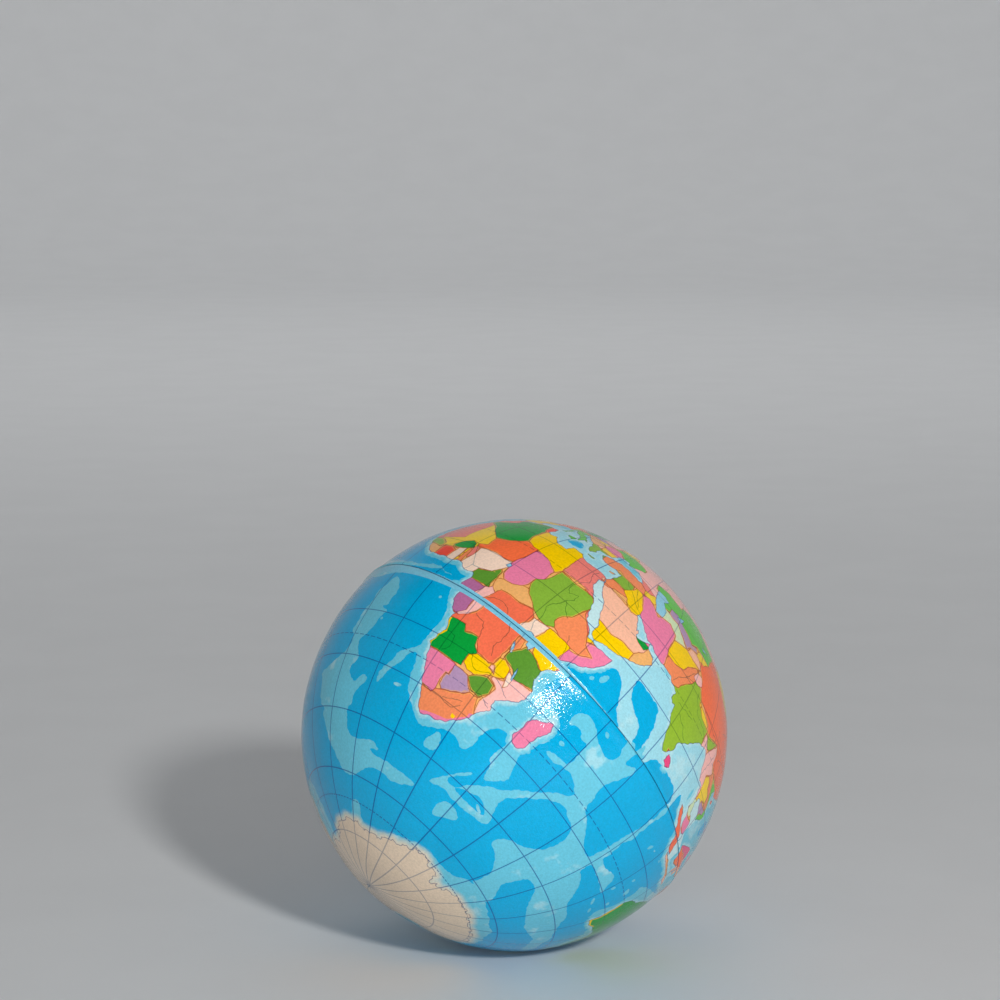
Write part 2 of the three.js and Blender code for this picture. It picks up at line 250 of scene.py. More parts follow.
LAND = """
africa: -5.8 35.8, -2 36, 0 37.7, 4.5 38, 8.2 37.8, 8.9 36, 8.4 34.2, 10 33.3, 12.5 33.7,
  14.3 31.9, 16 31, 19 31, 19.4 33.5, 23 33.6, 24.5 32.3, 27.3 32, 31 32.3, 34 31.6, 34.6 30,
  33 29.3, 35.8 23.5, 37.8 20.2, 38.8 17.5, 39.6 15.9, 42.5 13, 43.3 11.4, 48 11.5, 51.8 11.8,
  51.4 9.4, 48.3 4.4, 45 2, 43.2 0.3, 42.4 -1.8, 40.6 -3.6, 39 -6, 39.2 -8.5, 39.9 -11, 40.6 -13,
  40.6 -15.6, 38.5 -18.5, 35 -21.4, 35.7 -24.5, 33.1 -27.8, 32.6 -29.5, 30.2 -32.5, 27.5 -34.8,
  22 -36, 20 -36.8, 18.2 -35, 17 -32, 15.5 -29, 14.2 -25.5, 12.7 -21, 11.3 -18, 12 -15,
  13.2 -12.8, 12.2 -10, 12 -8, 12.5 -6.8, 10.5 -5.5, 9.2 -3, 9 -1.3, 9.3 0.8, 9.4 2.5, 9.8 4.3,
  8.6 5.8, 6 5.2, 4.3 6.2, 2.5 7.3, 0 6.8, -3 7.2, -5.5 6.9, -8 7.2, -10 7.3, -12.8 9, -14.5 11,
  -16.5 13, -17.5 15.5, -17 20, -16 23, -13.5 26.5, -10.3 29.3, -9.8 31.5, -7 34
madagascar: 50 -14.7, 50.9 -17, 50 -19.4, 48.8 -24.7, 47.6 -27, 45.6 -27, 44.1 -25.3, 44.7 -22.4,
  44.7 -19.4, 46.8 -17, 48.8 -15.3
eurasia: -9 43.5, -1.5 43.5, -1 46, -4.5 48.3, 1.5 50.7, 4.5 52.5, 8.5 54, 8.5 57, 10.5 57.5,
  10.5 54.5, 14 54, 19 54.5, 21 57, 24 58, 23.5 59.5, 29.5 60, 23 60.2, 21.5 61.5, 25.5 65, 22 66,
  17.5 62, 18.5 60, 16.5 57, 14.5 55.5, 12.5 56, 11 59, 8 58, 5.5 59.5, 5 62, 12 66, 15 68.5,
  20 70, 26 71, 31 70, 41 67.5, 33 66.5, 37 64, 41 66, 44 66.5, 44 68.5, 54 68.5, 60 69, 68 68.5,
  67 72, 72 73, 73 68, 75 72, 81 73.5, 87 75, 98 76.5, 104 77.7, 113 74, 127 73.5, 130 71,
  140 72.7, 152 71, 160 69.7, 170 70, 180 69, 190 66, 180 65, 177 62.5, 170 60, 163 58, 162 55.5,
  157 51, 156 56.5, 163 62, 155 59.3, 143 59.3, 135.5 54.7, 140.5 53, 140 48.5, 135 43.5,
  131 42.8, 128 39.5, 129.4 36.5, 128.6 35, 126.5 34.5, 126.7 37.5, 125 39.7, 121.5 39,
  121.5 40.7, 118 39, 119.5 37.3, 122.5 37, 119.5 35, 121.8 31.5, 121 28, 118 24.5, 114 22.5,
  110.4 21.2, 110 20.4, 108.4 21.8, 106.6 20, 107.8 17, 109.6 14, 108.4 11.8, 105.6 9.8, 105 11.2,
  102.8 12.4, 101.3 13.6, 100 13, 99.8 11, 101 8.4, 104.2 6.4, 104.8 3.6, 103.4 2.8, 101.2 4.2,
  100 6.8, 98.2 8.4, 98.6 12, 97.8 15.6, 95.5 15.6, 94.3 17.5, 93 20.4, 91.4 22.4, 89 21.7,
  87 21.2, 85 18.8, 82 15.8, 80.3 14, 80.5 11.5, 79.2 9.2, 77.8 8, 76.4 9.7, 75.2 12, 74.4 15,
  72.9 17, 72.4 19.8, 71.3 19.4, 70.2 20.3, 70.6 22.6, 69.4 23.2, 67.8 23.5, 66.6 24.6, 63 25,
  61 24.7, 58.6 25, 57 26.2, 55 26, 52 28, 50.3 29.4, 48.4 30.6, 48 29.6, 49.8 27, 50.8 25.2,
  51.2 26, 51.7 25.2, 51.5 24.2, 52.4 23.6, 54.5 24.5, 56.3 26.1, 56.7 24, 59.4 23, 60.2 21.2,
  58 18.3, 55 16.1, 49.5 13.8, 44.8 12.2, 43.5 13, 43 17, 41 20, 38 25, 35.5 28.7, 34.9 29.8,
  34.2 31.2, 35 33, 35.6 35.5, 35.7 37.4, 33 38, 30.5 37.2, 27.6 37.6, 26 39.4, 28.6 41.2,
  32 42.3, 36 42.4, 40 41.6, 41.8 42.4, 40 44, 37.5 45.8, 35.5 45.6, 33.5 44.8, 32.5 46.3, 30 46,
  28.5 44.5, 28 41.7, 26 40.9, 23.5 40.6, 24 38.3, 22.8 36.8, 21.2 38.2, 19.6 41.5, 15.5 44,
  13.3 45.7, 12.4 44, 16 41.8, 18.3 40.1, 16.8 40.4, 16.4 38.1, 15.4 40, 11 42.5, 9 44.4,
  6.5 43.3, 3.2 43.3, 3 41.8, 0 39.6, -0.5 37.8, -2 36.9, -5.5 36.3, -8.8 37.2, -9.3 39
ceylon: 80.2 9.4, 82 8.5, 82.8 7, 81.5 5.9, 80 6.8
sumatra: 95.3 6.4, 98 5.6, 100.4 3.6, 103.5 2, 105.6 0.6, 106.2 -1.6, 108.2 -4.2, 109 -5.4,
  107.4 -5.6, 104.6 -4, 102.4 -1.4, 100.4 0.4, 97.8 3, 96 5
java: 107 -6, 109 -6.2, 113 -6.4, 118 -6.8, 124 -8, 124 -9, 118 -7.8, 112 -7.5, 108 -7
borneo: 108.8 2.6, 110.6 4, 113 5.4, 116 6.8, 117.6 7.4, 118.6 5.4, 119.4 3, 121.4 1.4, 119.8 0.4,
  121.6 -1, 118.6 -3.2, 116.4 -4, 114 -3.8, 113.2 -1.6, 112 0.4, 110.6 1.4
celebes: 119.5 -5.5, 119 -2.5, 120 0.9, 125 1.6, 124.4 0.4, 120.9 0.5, 121 -1, 123.3 -0.9,
  121.8 -2, 122.8 -4.5, 121.6 -4.6, 120.9 -2.8, 120.4 -5.5
luzon: 120.2 16, 121 18.6, 122.3 18.3, 121.6 15, 124 13, 121 13.8
mindanao: 122 7, 123.5 8.6, 125.4 9.8, 126.5 7.3, 125.6 5.7, 124 6.4
guinea: 131 -1, 135 -3.4, 138 -1.5, 141 -2.6, 147.5 -6.4, 150.5 -10.5, 147 -9.6, 143 -9, 138 -8.3,
  138 -6, 133 -4
australia: 119.2 -21.8, 122 -19.6, 125 -18.2, 128 -15.4, 132.5 -12.6, 136 -12, 139 -12.2,
  140 -15.6, 144 -17.6, 145.8 -11, 149 -16, 152.5 -20, 157 -26, 157 -30, 153.5 -37.5, 147 -39.2,
  144 -38, 141.5 -35, 139.5 -33.2, 134.5 -32.2, 127 -33.5, 123.5 -35.2, 119.8 -34.8, 120.4 -31.3,
  119.3 -26.7, 118.3 -23.8
tasmania: 148.5 -41, 152 -41, 151.5 -43.5, 149.7 -43.6
japan: 130.2 33.5, 131 34.4, 135.8 35.6, 139.2 38.2, 140 41, 141.6 41.4, 142 39.5, 140.8 35.6,
  137 34.5, 135.6 33.5, 132.6 33, 131.4 31.2, 130.2 31.4
hokkaido: 140 42, 141.6 45.5, 145.3 43.5, 143 42
sakhalin: 142 46, 142.3 53, 143 54, 144.5 49, 143 46.5
formosa: 120 23, 121.6 25.2, 121 22
hainan: 108.7 19.2, 110.6 20, 110.6 18.8, 109.4 18.2
zealand_north: 172.7 -34.5, 175.5 -36.7, 178.5 -37.7, 177 -39.5, 175.2 -41.6, 173.8 -39.3,
  174.7 -38
zealand_south: 172.7 -40.5, 174.3 -41.7, 172.8 -43.8, 170.7 -45.9, 168.5 -46.6, 166.5 -46,
  170.5 -43
britain: -5.5 50, 1.3 51.2, 1.7 52.7, 0 53.5, -2 56, -2 57.6, -4 58.6, -5.5 56.5, -3 54.8,
  -4.7 53, -5 51.7
ireland: -10 52, -6.2 52.3, -6 54.5, -8.3 55.2, -10 53.8
iceland: -24 65.5, -22 66.4, -16 66.5, -13.6 65, -18.5 63.4, -22.5 64
spitsbergen: 11 79, 16 80, 27 80, 21 78, 16 76.7
novaya: 52 71, 56 73.5, 68 77, 60 76.3, 54 74, 51.5 71.8
severnaya: 95 79, 96 81, 105 79, 100 78
new_siberia: 138 75.5, 145 76, 150 75, 143 73.5
sicily: 12.5 38.2, 15.5 38.4, 15.2 36.7, 13 37.4
sardinia: 8.2 39, 8.3 43, 9.5 43, 9.7 39.2
crete: 23.5 35.4, 26.3 35.4, 26 34.9, 23.7 35
cyprus: 32.4 35.5, 34.4 35.9, 33.6 35, 32.4 35
america_north: -168 66, -162 67, -166 68.5, -157 71, -141 69.7, -128 70, -115 68.5, -108 68,
  -95 68.5, -94 72, -85 69.5, -82 67, -87 65, -94 61, -94 58.5, -85 55.5, -82 53, -79.5 51.5,
  -79 54.5, -77 57.5, -78 62.3, -70 61, -66 58.5, -62 57.5, -60 54.5, -56 52, -60 50, -66 50.2,
  -70 47, -65 49, -64.5 46.2, -61 45.8, -66 43.5, -67 45, -70.5 43, -70 41.7, -74 40.6, -76 37,
  -75.8 35.3, -81 31.5, -80.2 26.5, -81 25.2, -82.8 28, -84 30, -89.5 30, -94 29.5, -97.3 27.5,
  -97.7 22.5, -96 19, -94.5 18.2, -91 19, -90.3 21, -87 21.4, -88.3 17.5, -88.5 16, -83.3 15,
  -83.5 11, -81.5 8.9, -79.5 9.5, -77.3 8.5, -78.5 7.5, -80.5 7.3, -83 8.3, -85.7 10, -87.7 13,
  -92 14.5, -95 16, -99.5 16.7, -105.5 20, -106 23, -109.5 26.5, -112.8 31, -114.5 31.5, -112 27,
  -109.6 23, -112 25, -114.5 28, -116 30.5, -117.3 33, -120.6 34.6, -124 39.5, -124 46.5, -123 49,
  -128 52, -132 56.5, -139 59.7, -147 61, -152 59, -155 57.5, -163 54.8, -158 58.5, -162 59.5,
  -165 62, -161 64, -166 64.7
america_south: -77.3 8.5, -75 11, -72 12, -71.5 10.8, -64 10.5, -61.5 10, -57 6, -51.5 4.3,
  -50 0.5, -44.5 -2.5, -39 -3.3, -35 -5.5, -35 -9, -39 -13.5, -39 -18, -41 -22, -45 -23.5,
  -48.5 -26, -50 -30, -53.5 -34, -56.5 -34.8, -58.4 -34, -57 -36.5, -62 -39, -65 -41, -63.7 -42.8,
  -67.5 -46, -66 -48, -69 -51, -68 -53, -65.3 -54.8, -70 -55.5, -74 -52.5, -75.5 -48, -73.5 -42,
  -73.5 -37, -71.5 -31, -70.2 -20, -76 -14, -81 -6, -80 -2.5, -80 1, -77.5 3.5, -77.5 6
greenland: -73 78, -62 81.7, -35 83.5, -17 80.5, -20 74, -24 70, -37 66, -43 60, -48 61, -53 66.5,
  -54 70.5, -60 76
baffin: -62 66, -68 62.5, -78 64.5, -73 68, -88 70.5, -90 73, -80 73.5, -70 70.5
ellesmere: -62 82.5, -90 81.5, -88 77, -78 76.5
victoria: -105 69.2, -117 70, -118 73, -108 73.2, -102 70.5
banks: -120 72, -125 72, -122 74.3, -118 73.8
melville: -95 75, -115 75, -112 77, -100 76.5
newfoundland: -59.3 47.7, -56 51.5, -53 47.5, -56 46.8
vancouver: -128 50.8, -123.5 48.4, -125.5 50.2
cuba: -85 21.9, -82 23.2, -77 21.6, -74.3 20.2, -77.5 19.9, -78.5 21, -82 22.4
hispaniola: -74.3 18.5, -73 19.9, -68.5 18.7, -71.5 17.8
falklands: -61 -51.4, -58 -51.4, -59 -52.3, -61 -52.2
"""

ICE = """
antarctica: -180 -90, -180 -78.5, -158 -78, -150 -76.5, -130 -74.5, -110 -74.6, -100 -72.5,
  -75 -72.5, -68 -68, -60 -63.6, -57 -63.4, -61 -67, -62 -73, -56 -77.4, -35 -78, -26 -74.6,
  -17 -73, -10 -72.4, -1.2 -71.8, 4 -71.2, 7.5 -72.3, 17.5 -72, 25 -71.3, 30 -70.4, 32.5 -69.6,
  36 -70, 39 -68.8, 41.2 -68.1, 44 -68.4, 46 -66.9, 49 -67.2, 52 -66.2, 55 -66.6, 57 -67.8,
  61.2 -67.3, 66.2 -68, 67 -69.8, 68.8 -70.9, 70.4 -70.6, 71.4 -69.2, 73.6 -70, 76 -69, 77 -69.4,
  80 -67.5, 83.5 -67.2, 85 -66.5, 87.5 -67, 91 -66.4, 94 -66.9, 98 -66.2, 100 -66.7, 104 -65.9,
  108 -67, 111 -66.5, 115 -67.2, 120 -66.6, 126 -67, 130 -66, 138 -65.8, 145 -65.6, 152 -65.9,
  160 -66.8, 168 -68.6, 172 -71.5, 168 -76, 180 -78.5, 180 -90
"""

# Painted only where there is land, each over the ones before it. A fringe has no border line.
FRINGE = " fringe"
COUNTRIES = """
rose: -180 35, 200 35, 200 85, -180 85
# Africa
salmon: -20 31, -20 15, 0 15, 0 31
salmon: -15 29.2, -10.3 29.2, -7 30.3, -3.5 31.5, -1.4 32.6, -1.8 39, -12 39
corn: -7 28, 5 22, 5 16.5, -1 12, -13 11, -14 15.5, -12 15.6, -6.5 17
forest: -10.4 29, -9 30, -5 31.3, -3.5 32.6, -4.6 35, -2.4 36.2, -1.5 40, 5.8 40, 6 36.2,
  6.6 34.4, 8 33.4, 8.5 30, 9 27.5, 10 25.6, 8 23.5, 5 21.6, 2.5 20.8, 0 22.4, -7 27.2
red: 5.8 40, 10 40, 10 34, 8.2 33.2, 6.8 34.5, 6 36.2
yellow: 8.1 33.2, 9.4 34.4, 24.4 34.5, 24.4 30, 25.3 23, 24.2 20.5, 20.5 22.9, 16 24, 13 24.4,
  10 25.6, 9 27.5, 8.5 30
salmon: 24.4 34, 34.4 34, 34 30.6, 36.6 22.5, 25.3 22.6, 24.4 29
orange: 2.5 20.7, 5 21.6, 8 23.5, 10 25.4, 13 24.4, 15 24.3, 15 21, 14.8 19, 14 15.6, 11 15,
  8 15.5, 4.5 15.1, 3 14, 1.5 15, 0.8 16, 3.4 17
pink: 15 23.6, 16.3 23.9, 20.5 22.9, 24.2 20.5, 24.3 16.4, 22.8 15, 22.8 12, 22 10.5, 19.5 9,
  17 8.8, 15.4 10.4, 14.8 13, 14 15, 15 19, 15 21
grass: 25.3 22.5, 36.6 22.6, 38.6 20, 38.2 17.8, 37.5 15, 37 12.5, 35.3 10.5, 34.8 8, 36 6.3,
  34 5, 31.5 5.3, 29 6.5, 27.3 8, 24.8 9.6, 23 12.5, 22.8 15, 24.3 16.4
tangerine: 38.4 18.5, 43.3 13.2, 43 11.4, 44.5 9, 47.8 7.5, 45.5 5.5, 42.5 5, 38.5 5.2, 36 6.3,
  34.8 8, 35.3 10.5, 37 12.5, 37.5 15
salmon: 38.3 18.5, 44 13.5, 42.7 12.2, 39.6 15.2, 38.6 16.5
pink: 43 11.4, 43.6 12.4, 53 13, 53 8, 42 -4.4, 41 -3.6, 42.2 1.5, 42.4 4.2, 45.5 5.5, 47.8 7.5,
  44.5 9
yellow: 35.4 5.2, 38.5 5.2, 42.5 5, 42.3 2.6, 42.2 0, 41.6 -2.6, 40.2 -6, 38.4 -5.8, 36.7 -4.4,
  34.4 -3.2, 33.8 -1.3, 34.8 0.6
apricot: 15.4 8, 17 8.8, 19.5 9, 22 10.5, 23.8 11, 24.8 9.6, 27.3 8, 29 6.4, 25 5.5, 22 5.8,
  19 5.5, 18.4 3.6, 16.5 5
cream: 3 14.6, 4.5 15.1, 8 15.5, 11 15, 14 15.4, 14.8 13, 14 11.5, 12.5 9, 9 7.8, 8.6 5.9, 8 3.5,
  3 4, 2.8 7.5, 3.5 11
moss: 14 11.4, 14.8 10.6, 15.5 8, 15.3 5.5, 16 4, 14 4.1, 9.6 3.8, 7 4, 8.6 5.9, 9 7.7, 10 7.8,
  12.5 9
violet: 7 3.8, 9.6 3.9, 15 3.5, 14.7 1.5, 14 -0.5, 14.2 -4.4, 12.8 -6.7, 7 -5
rose: 15 3.6, 16 4, 16.5 5, 18.4 3.6, 17.8 1, 17.4 -1, 16.6 -3, 15.4 -5, 13.2 -6.6, 12.4 -6.2,
  14.2 -4.2, 14.2 -0.5, 14.7 1.5
coral: 18.4 3.6, 19 5.5, 22 5.8, 25 5.4, 29 6.3, 30.6 4.6, 30.6 2.5, 29.6 0.5, 29.4 -2.2,
  29.4 -7.2, 29.2 -10.5, 28.9 -13.3, 27.8 -13.9, 23.9 -13.4, 22.2 -11, 21.6 -9.3, 19.5 -9.4,
  17.8 -10.1, 16.7 -8, 11 -8.2, 11.5 -6.4, 13.3 -6.7, 15.5 -5, 16.7 -3, 17.3 -1, 17.8 1
cream: 29.5 0.5, 30.6 2.5, 30.8 4.6, 34 5, 35.4 5.2, 34.8 0.6, 33.8 -1.4, 31.4 -1.7, 29.4 -1.6
tangerine: 29.3 -1.6, 31.3 -1.9, 31.6 -4.6, 30.2 -7, 29.4 -6.8
forest: 11 -8.3, 16.7 -8.2, 17.8 -10.2, 19.5 -9.5, 21.4 -9.4, 22.2 -12, 23.9 -13.5, 23.9 -14.7,
  22.3 -15.3, 22.5 -19.3, 18.3 -19.5, 13.3 -19.2, 10 -19
yellow fringe: 10 -8.3, 12.5 -8.3, 12.7 -10, 13.7 -12.8, 12.5 -15, 11.8 -18, 12.4 -19.4, 9 -19.4
moss: 30 -7.4, 31.9 -4.6, 32.4 -3, 35 -3.7, 36.7 -4.6, 38.4 -5.9, 42 -6.2, 42 -12, 39.7 -12.1,
  35 -13.3, 33.6 -11.1, 31 -10.3, 29.8 -9.6
rose: 35 -13.2, 42 -12.1, 42 -19, 37 -27, 32.6 -27.9, 31.9 -24.4, 32.9 -21.1, 33.3 -18.8,
  30.6 -17.1, 31 -16.2, 33.4 -15.6, 34.4 -14.6
cream: 33.4 -12.1, 34.8 -13.1, 35.2 -16, 34.4 -17.2, 33.8 -15, 33 -13.4
yellow: 22.3 -15.3, 24.2 -13.7, 27.8 -14, 29 -13.4, 29.2 -10.7, 30.8 -10.2, 33 -11.6, 33.3 -15,
  31 -16.3, 29.2 -17.2, 27.2 -19.4, 24.4 -19.3, 22.5 -17.9
rose: 29.4 -13.4, 30.6 -15.8, 28.6 -15, 28.6 -13.9
moss: 26.6 -19.5, 29.8 -17.4, 32.5 -18.2, 32.9 -21.1, 31.2 -23.8, 28.3 -23.3, 25.6 -20.8
pink: 9 -19.4, 13.3 -19.4, 18.3 -19.6, 21.4 -20, 21.1 -23.3, 20.2 -23.4, 20.1 -28.6, 19.5 -30.1,
  17 -29.6, 12 -30
lavender: 21.1 -20.2, 25.4 -20.4, 27.2 -22.8, 28.6 -24, 27.4 -25.4, 24.2 -27.1, 21.6 -28,
  20.4 -27, 20.4 -23.5, 21.2 -23.4
tangerine: 12 -30, 16.8 -29.8, 19.5 -30.2, 20.2 -28.7, 21.7 -28.1, 24.2 -27.2, 27.5 -25.5,
  28.7 -24, 31.1 -23.9, 32 -26.6, 33 -28.4, 35 -29, 32 -37, 14 -39
pink fringe: 33 -28.2, 31.8 -28.8, 31.8 -30, 29.8 -32, 27.2 -34, 22 -35.2, 19.8 -35.9, 17 -39,
  32 -39, 36 -29
yellow fringe: 28 -31.6, 29.2 -31.8, 29 -32.8, 28 -32.6
grass: -20 15, -16 14.6, -12.4 14.2, -9.6 12.6, -9.5 10.5, -14 11.6, -20 12.6
apricot: -20 12.6, -14 11.6, -9.5 10.5, -8.6 11.6, -8.5 7.6, -8.6 5, -16 5
red: -8.6 11.6, -5.5 11.8, -2.8 10.5, -3 8, -3 6, -8.6 6, -8.4 8
forest: -6 13, -4.5 15, -2 16.5, 0 15.7, 1.3 13.6, -0.6 12.6, -1.6 12.2, -4 11.8, -5.5 11.8
cream: -2.8 12, -1.6 12.2, -0.5 12.7, 0.2 10, 0.4 6, -3.2 6, -3 8, -2.8 10.5
corn: -0.3 12.8, 0.6 13.2, 1 6, 0.3 6, 0.2 10
tangerine: 0.6 13.2, 1.8 12.8, 2.9 6, 1 6
salmon: 1.2 13.8, 1.5 14.9, 3 14.4, 3.6 11, 2.8 9.2, 1.9 11.8
pink: 43 -13, 53 -13, 53 -28, 43 -28
# Arabia and the Levant
peach: 33 31, 34.9 32, 36.8 30.1, 44 29.3, 48.4 29.8, 53 28, 54 23, 60 24, 62 18, 44 10, 42 16
yellow: 42 18.4, 44 18.2, 47 17.6, 50.5 18.8, 54.4 18.8, 54.8 15, 44 10, 42 14
apricot: 54.4 18.9, 56.3 21.8, 56.5 23.6, 56 27, 62 24, 62 17, 54.8 14
forest: 51.9 23.6, 52.6 26, 56.5 27, 56.6 24, 55.8 22.4, 53.3 22.8
tangerine: 33.9 33.2, 35.4 33.4, 39.8 33.2, 42.5 31.6, 38 30.6, 36.6 29.4, 34.4 29
grass: 34 34, 34 38, 37 37.9, 41.2 37.7, 41.7 36, 40 33.4, 35.4 33.5
yellow: 39.9 33.1, 41.6 36, 41.9 38, 44.4 38, 46.4 35.4, 48 33, 48.6 30.6, 48.2 29.5, 46.2 28.7,
  44 29.4, 42.6 31.5
tangerine: 25 40, 26.4 42.2, 31 43.2, 38 43.2, 41.4 41.8, 44.2 40.6, 44.9 38.2, 41.9 38, 37 37.9,
  34 39, 30 36, 25 36
salmon: 39 44.4, 44 43.4, 47.6 42.2, 46.4 41, 44 40.7, 41.4 41.9, 40 42.6
corn: 44.2 40.8, 46.4 41, 47.8 42.2, 50.6 41.2, 49.4 38.4, 47 39, 44.8 38.4
pink: 44.5 38.2, 47 39, 49.4 38.2, 52.8 36, 54.4 37.9, 57.5 38.5, 61 37, 61.4 34, 61.3 30.5,
  62.3 28, 63 25.8, 62.4 24, 54 24.5, 48.5 30.4, 48 33, 46.3 35.6
# the middle of Asia
leaf: 45.4 50, 50.8 52, 59.2 51.3, 60 53.8, 65 55.4, 72.5 55, 80 50.8, 84.2 49.2, 80.2 45,
  79.3 42.8, 70.8 43, 68.3 41.3, 65.8 42.5, 60 44.4, 55.2 42.2, 51 42, 50.8 45, 46 46.8
lavender: 55 45, 58.6 45.6, 61.4 44, 66 42.4, 68.2 41.2, 70.8 42.8, 72 41, 68 39.6, 67 37.6,
  64 39.4, 60 42, 57 41.6, 55 42.2
mint: 52 42.4, 55 42.1, 57 41.6, 60 41.8, 64 39.2, 66.6 37.4, 64.4 36.4, 61.3 35.2, 61 37,
  57.5 38.6, 52 37
corn: 70.4 42.8, 79.6 42.9, 76.6 40.3, 73.6 39.6, 71 40.2, 72 41
peach: 67.4 37.4, 68.2 39.6, 71 40.3, 73.6 39.6, 76.2 38.2, 75 36.8, 71 36.6
yellow: 61.3 35.2, 64.4 36.6, 67 37.4, 71 36.9, 75 36.9, 71.6 34.6, 70 33, 69 30.6, 65.5 29,
  62 29, 61.4 31
tangerine: 62.2 29, 65.5 29, 69 30.5, 70 33, 71.6 34.5, 74.6 36.6, 75 33.4, 74 30.5, 72 28,
  70.6 25.6, 70.4 22, 62 22, 62.9 25.6
orange: 73.6 39.6, 76.6 40.4, 79.4 42.8, 80.4 45.2, 84.2 49.2, 88 48.8, 91 45.2, 97 42.8,
  105 41.8, 112 43.8, 116 46.8, 120 49.8, 122 53.4, 126 52.8, 131 47.8, 135 48.4, 131 42.8,
  128 41.6, 124.4 40, 122 36, 124 28, 116 19, 108 17.6, 108 21.6, 103.5 22.8, 101 23, 98.6 24,
  98.6 27, 97 28.9, 92 27, 89 26.2, 87.5 28.2, 84.5 29.2, 80.6 30.2, 79 32.2, 77.6 35.4
corn: 88 48.8, 91 45.2, 97 42.8, 105 41.8, 112 43.8, 116 46.8, 119.6 47.6, 116 49.8, 108 49.4,
  102 51.2, 98 50.2, 92 50.8
lime: 74.6 32, 75.6 33.2, 78 32.6, 79 31.6, 80.4 29.8, 82.4 28.4, 87.4 26.8, 88.8 26.4, 92 27,
  97 28.8, 95 26.4, 93.2 24, 91.2 23.2, 90 25.4, 88.4 26, 88 23.6, 89 20, 84 12, 77.8 6, 66 20,
  68.6 23.6, 70.5 24.6, 70.7 25.7, 72 28, 74.1 30.5
rose: 73.6 33, 74.4 35.6, 77.2 36, 78.4 33.6, 76.8 32.4, 75.2 32.4
corn: 80.1 29.7, 83.6 28.7, 87.6 27.7, 87.4 26.6, 83.4 26.9, 80.4 28.6
rose: 88.2 25.8, 90 25.2, 91.6 23.4, 92.6 22, 91 20, 88 20
magenta: 79 10, 84 10, 84 5, 79 5
rose: 92.4 22, 93.4 24, 95.2 26.4, 97.2 28.7, 98.7 27, 98.6 24, 100.6 22, 99.4 20.6, 97.6 19,
  98.4 16.4, 98.8 12, 98.8 9.6, 94 12, 92 18
corn: 97.7 19, 99.6 20.4, 101.2 19.6, 102 18, 104.5 17.2, 105.2 15, 102.6 14.4, 102.4 12,
  100.6 12, 98.8 12, 99.2 13, 98.4 16.4
mint: 98.8 12, 100.6 12, 102 8.4, 101.4 7, 99 7.2, 98.4 10
tangerine: 99.8 20.6, 101 22.6, 103.4 22.4, 104.4 20, 106.6 16.8, 107.6 14.6, 105.2 14.6,
  104.5 17.3, 102.2 18.2, 101.4 19.8
lavender: 102.4 14.2, 107.8 14.4, 107.4 12.6, 104.8 10.6, 102.4 12
leaf: 102.6 22.6, 108.6 22, 108.4 18, 111 13, 104.6 8.6, 105.6 12, 107.6 13, 108 15.8, 105.8 18,
  104.2 20.2
pink: 99 7.4, 101.4 7, 105.4 7.4, 105.6 1.6, 99 3
coral: 94 7, 104 3, 110 -2, 110 -6, 104 -5.6, 94 -1
peach: 106.4 -5.9, 126 -6.4, 126 -10.4, 106.4 -8.6
orange: 108.4 2.2, 110.4 2.4, 114 3.6, 118.6 4.2, 123 2, 123 -4.4, 108 -4.4
magenta: 108.4 2.2, 110.4 2.4, 114 3.6, 118.6 4.2, 120 8.4, 112 8.4
peach: 118.4 -6.4, 118.4 1.8, 126 2.4, 126 -6
pink: 119 13, 121 20, 128 14, 127.4 5, 121 6
tangerine: 130 0.6, 141 0, 141 -9.6, 130 -9.6
yellow: 141 0, 152 -5, 152 -12, 141 -10
forest: 112 -10, 160 -10, 160 -46, 112 -46
yellow fringe: 116 -23.4, 118.9 -24, 119.9 -27, 121 -31.4, 120.5 -34, 124 -34.4, 127 -32.8,
  127 -38, 114 -38
leaf: 165 -33, 180 -33, 180 -48, 165 -48
yellow: 129 30.6, 129 35, 139 46.4, 147 44, 142.6 34
leaf: 124.2 40, 128 41.7, 130.8 42.6, 131.4 41, 128.4 38.4, 126.6 37.8, 124.6 37.8
apricot: 126.2 37.9, 128.4 38.5, 131 37, 129 33, 125 34
leaf: 119.4 21.6, 119.4 25.8, 122.4 25.6, 121.6 21.6
# Europe
yellow: -10 44, -1.6 43.4, 3.4 42.6, 4 38, -2 36, -7 36.6, -7 42, -10 42
leaf: -10 42, -6.6 42, -7.2 36.6, -10 36.6
orange: -6 48.6, 1.6 51.2, 4.6 50, 8.2 49, 6.4 46.4, 7.4 43.8, 6 42.6, 3.2 42.6, -1.8 43.4
pink: 1.6 51.2, 3.6 52, 7 53.4, 7 51.6, 6 49.6, 4.4 50
forest: 6.6 54, 9 54.9, 14.2 54.4, 14.8 51, 12.4 50.2, 13.6 48.6, 12.6 47.6, 8 47.6, 8.2 49,
  6.2 49.8, 6.8 51.8
rose: 14.2 54.6, 19 55, 23 54.4, 24 51, 22.8 49.2, 18.8 49.4, 14.8 51
tangerine: 6.6 47.6, 9.6 47.6, 13 47.7, 17 48, 16 46.6, 13 46.4, 10 46.4, 6.4 46.2
leaf: 6.6 46.2, 10 46.4, 13.6 46.4, 13.8 45, 20 39, 14 36, 8 38, 7.4 43.8
lavender: 12.4 50.2, 14.8 51, 18.8 49.4, 22.4 49, 22.8 48, 17 47.8, 13.6 48.6
corn: 16.2 46.8, 17.2 47.8, 22.8 48.2, 21 46.2, 18.6 45.8
pink: 22.8 48.2, 26.6 48.4, 29.6 46, 30 44, 28 43.8, 23 43.8, 20.6 46
apricot: 13.4 46.4, 16.2 46.8, 18.6 45.8, 20.8 46, 22.4 44.4, 20.4 42.4, 18 42, 13 44.6
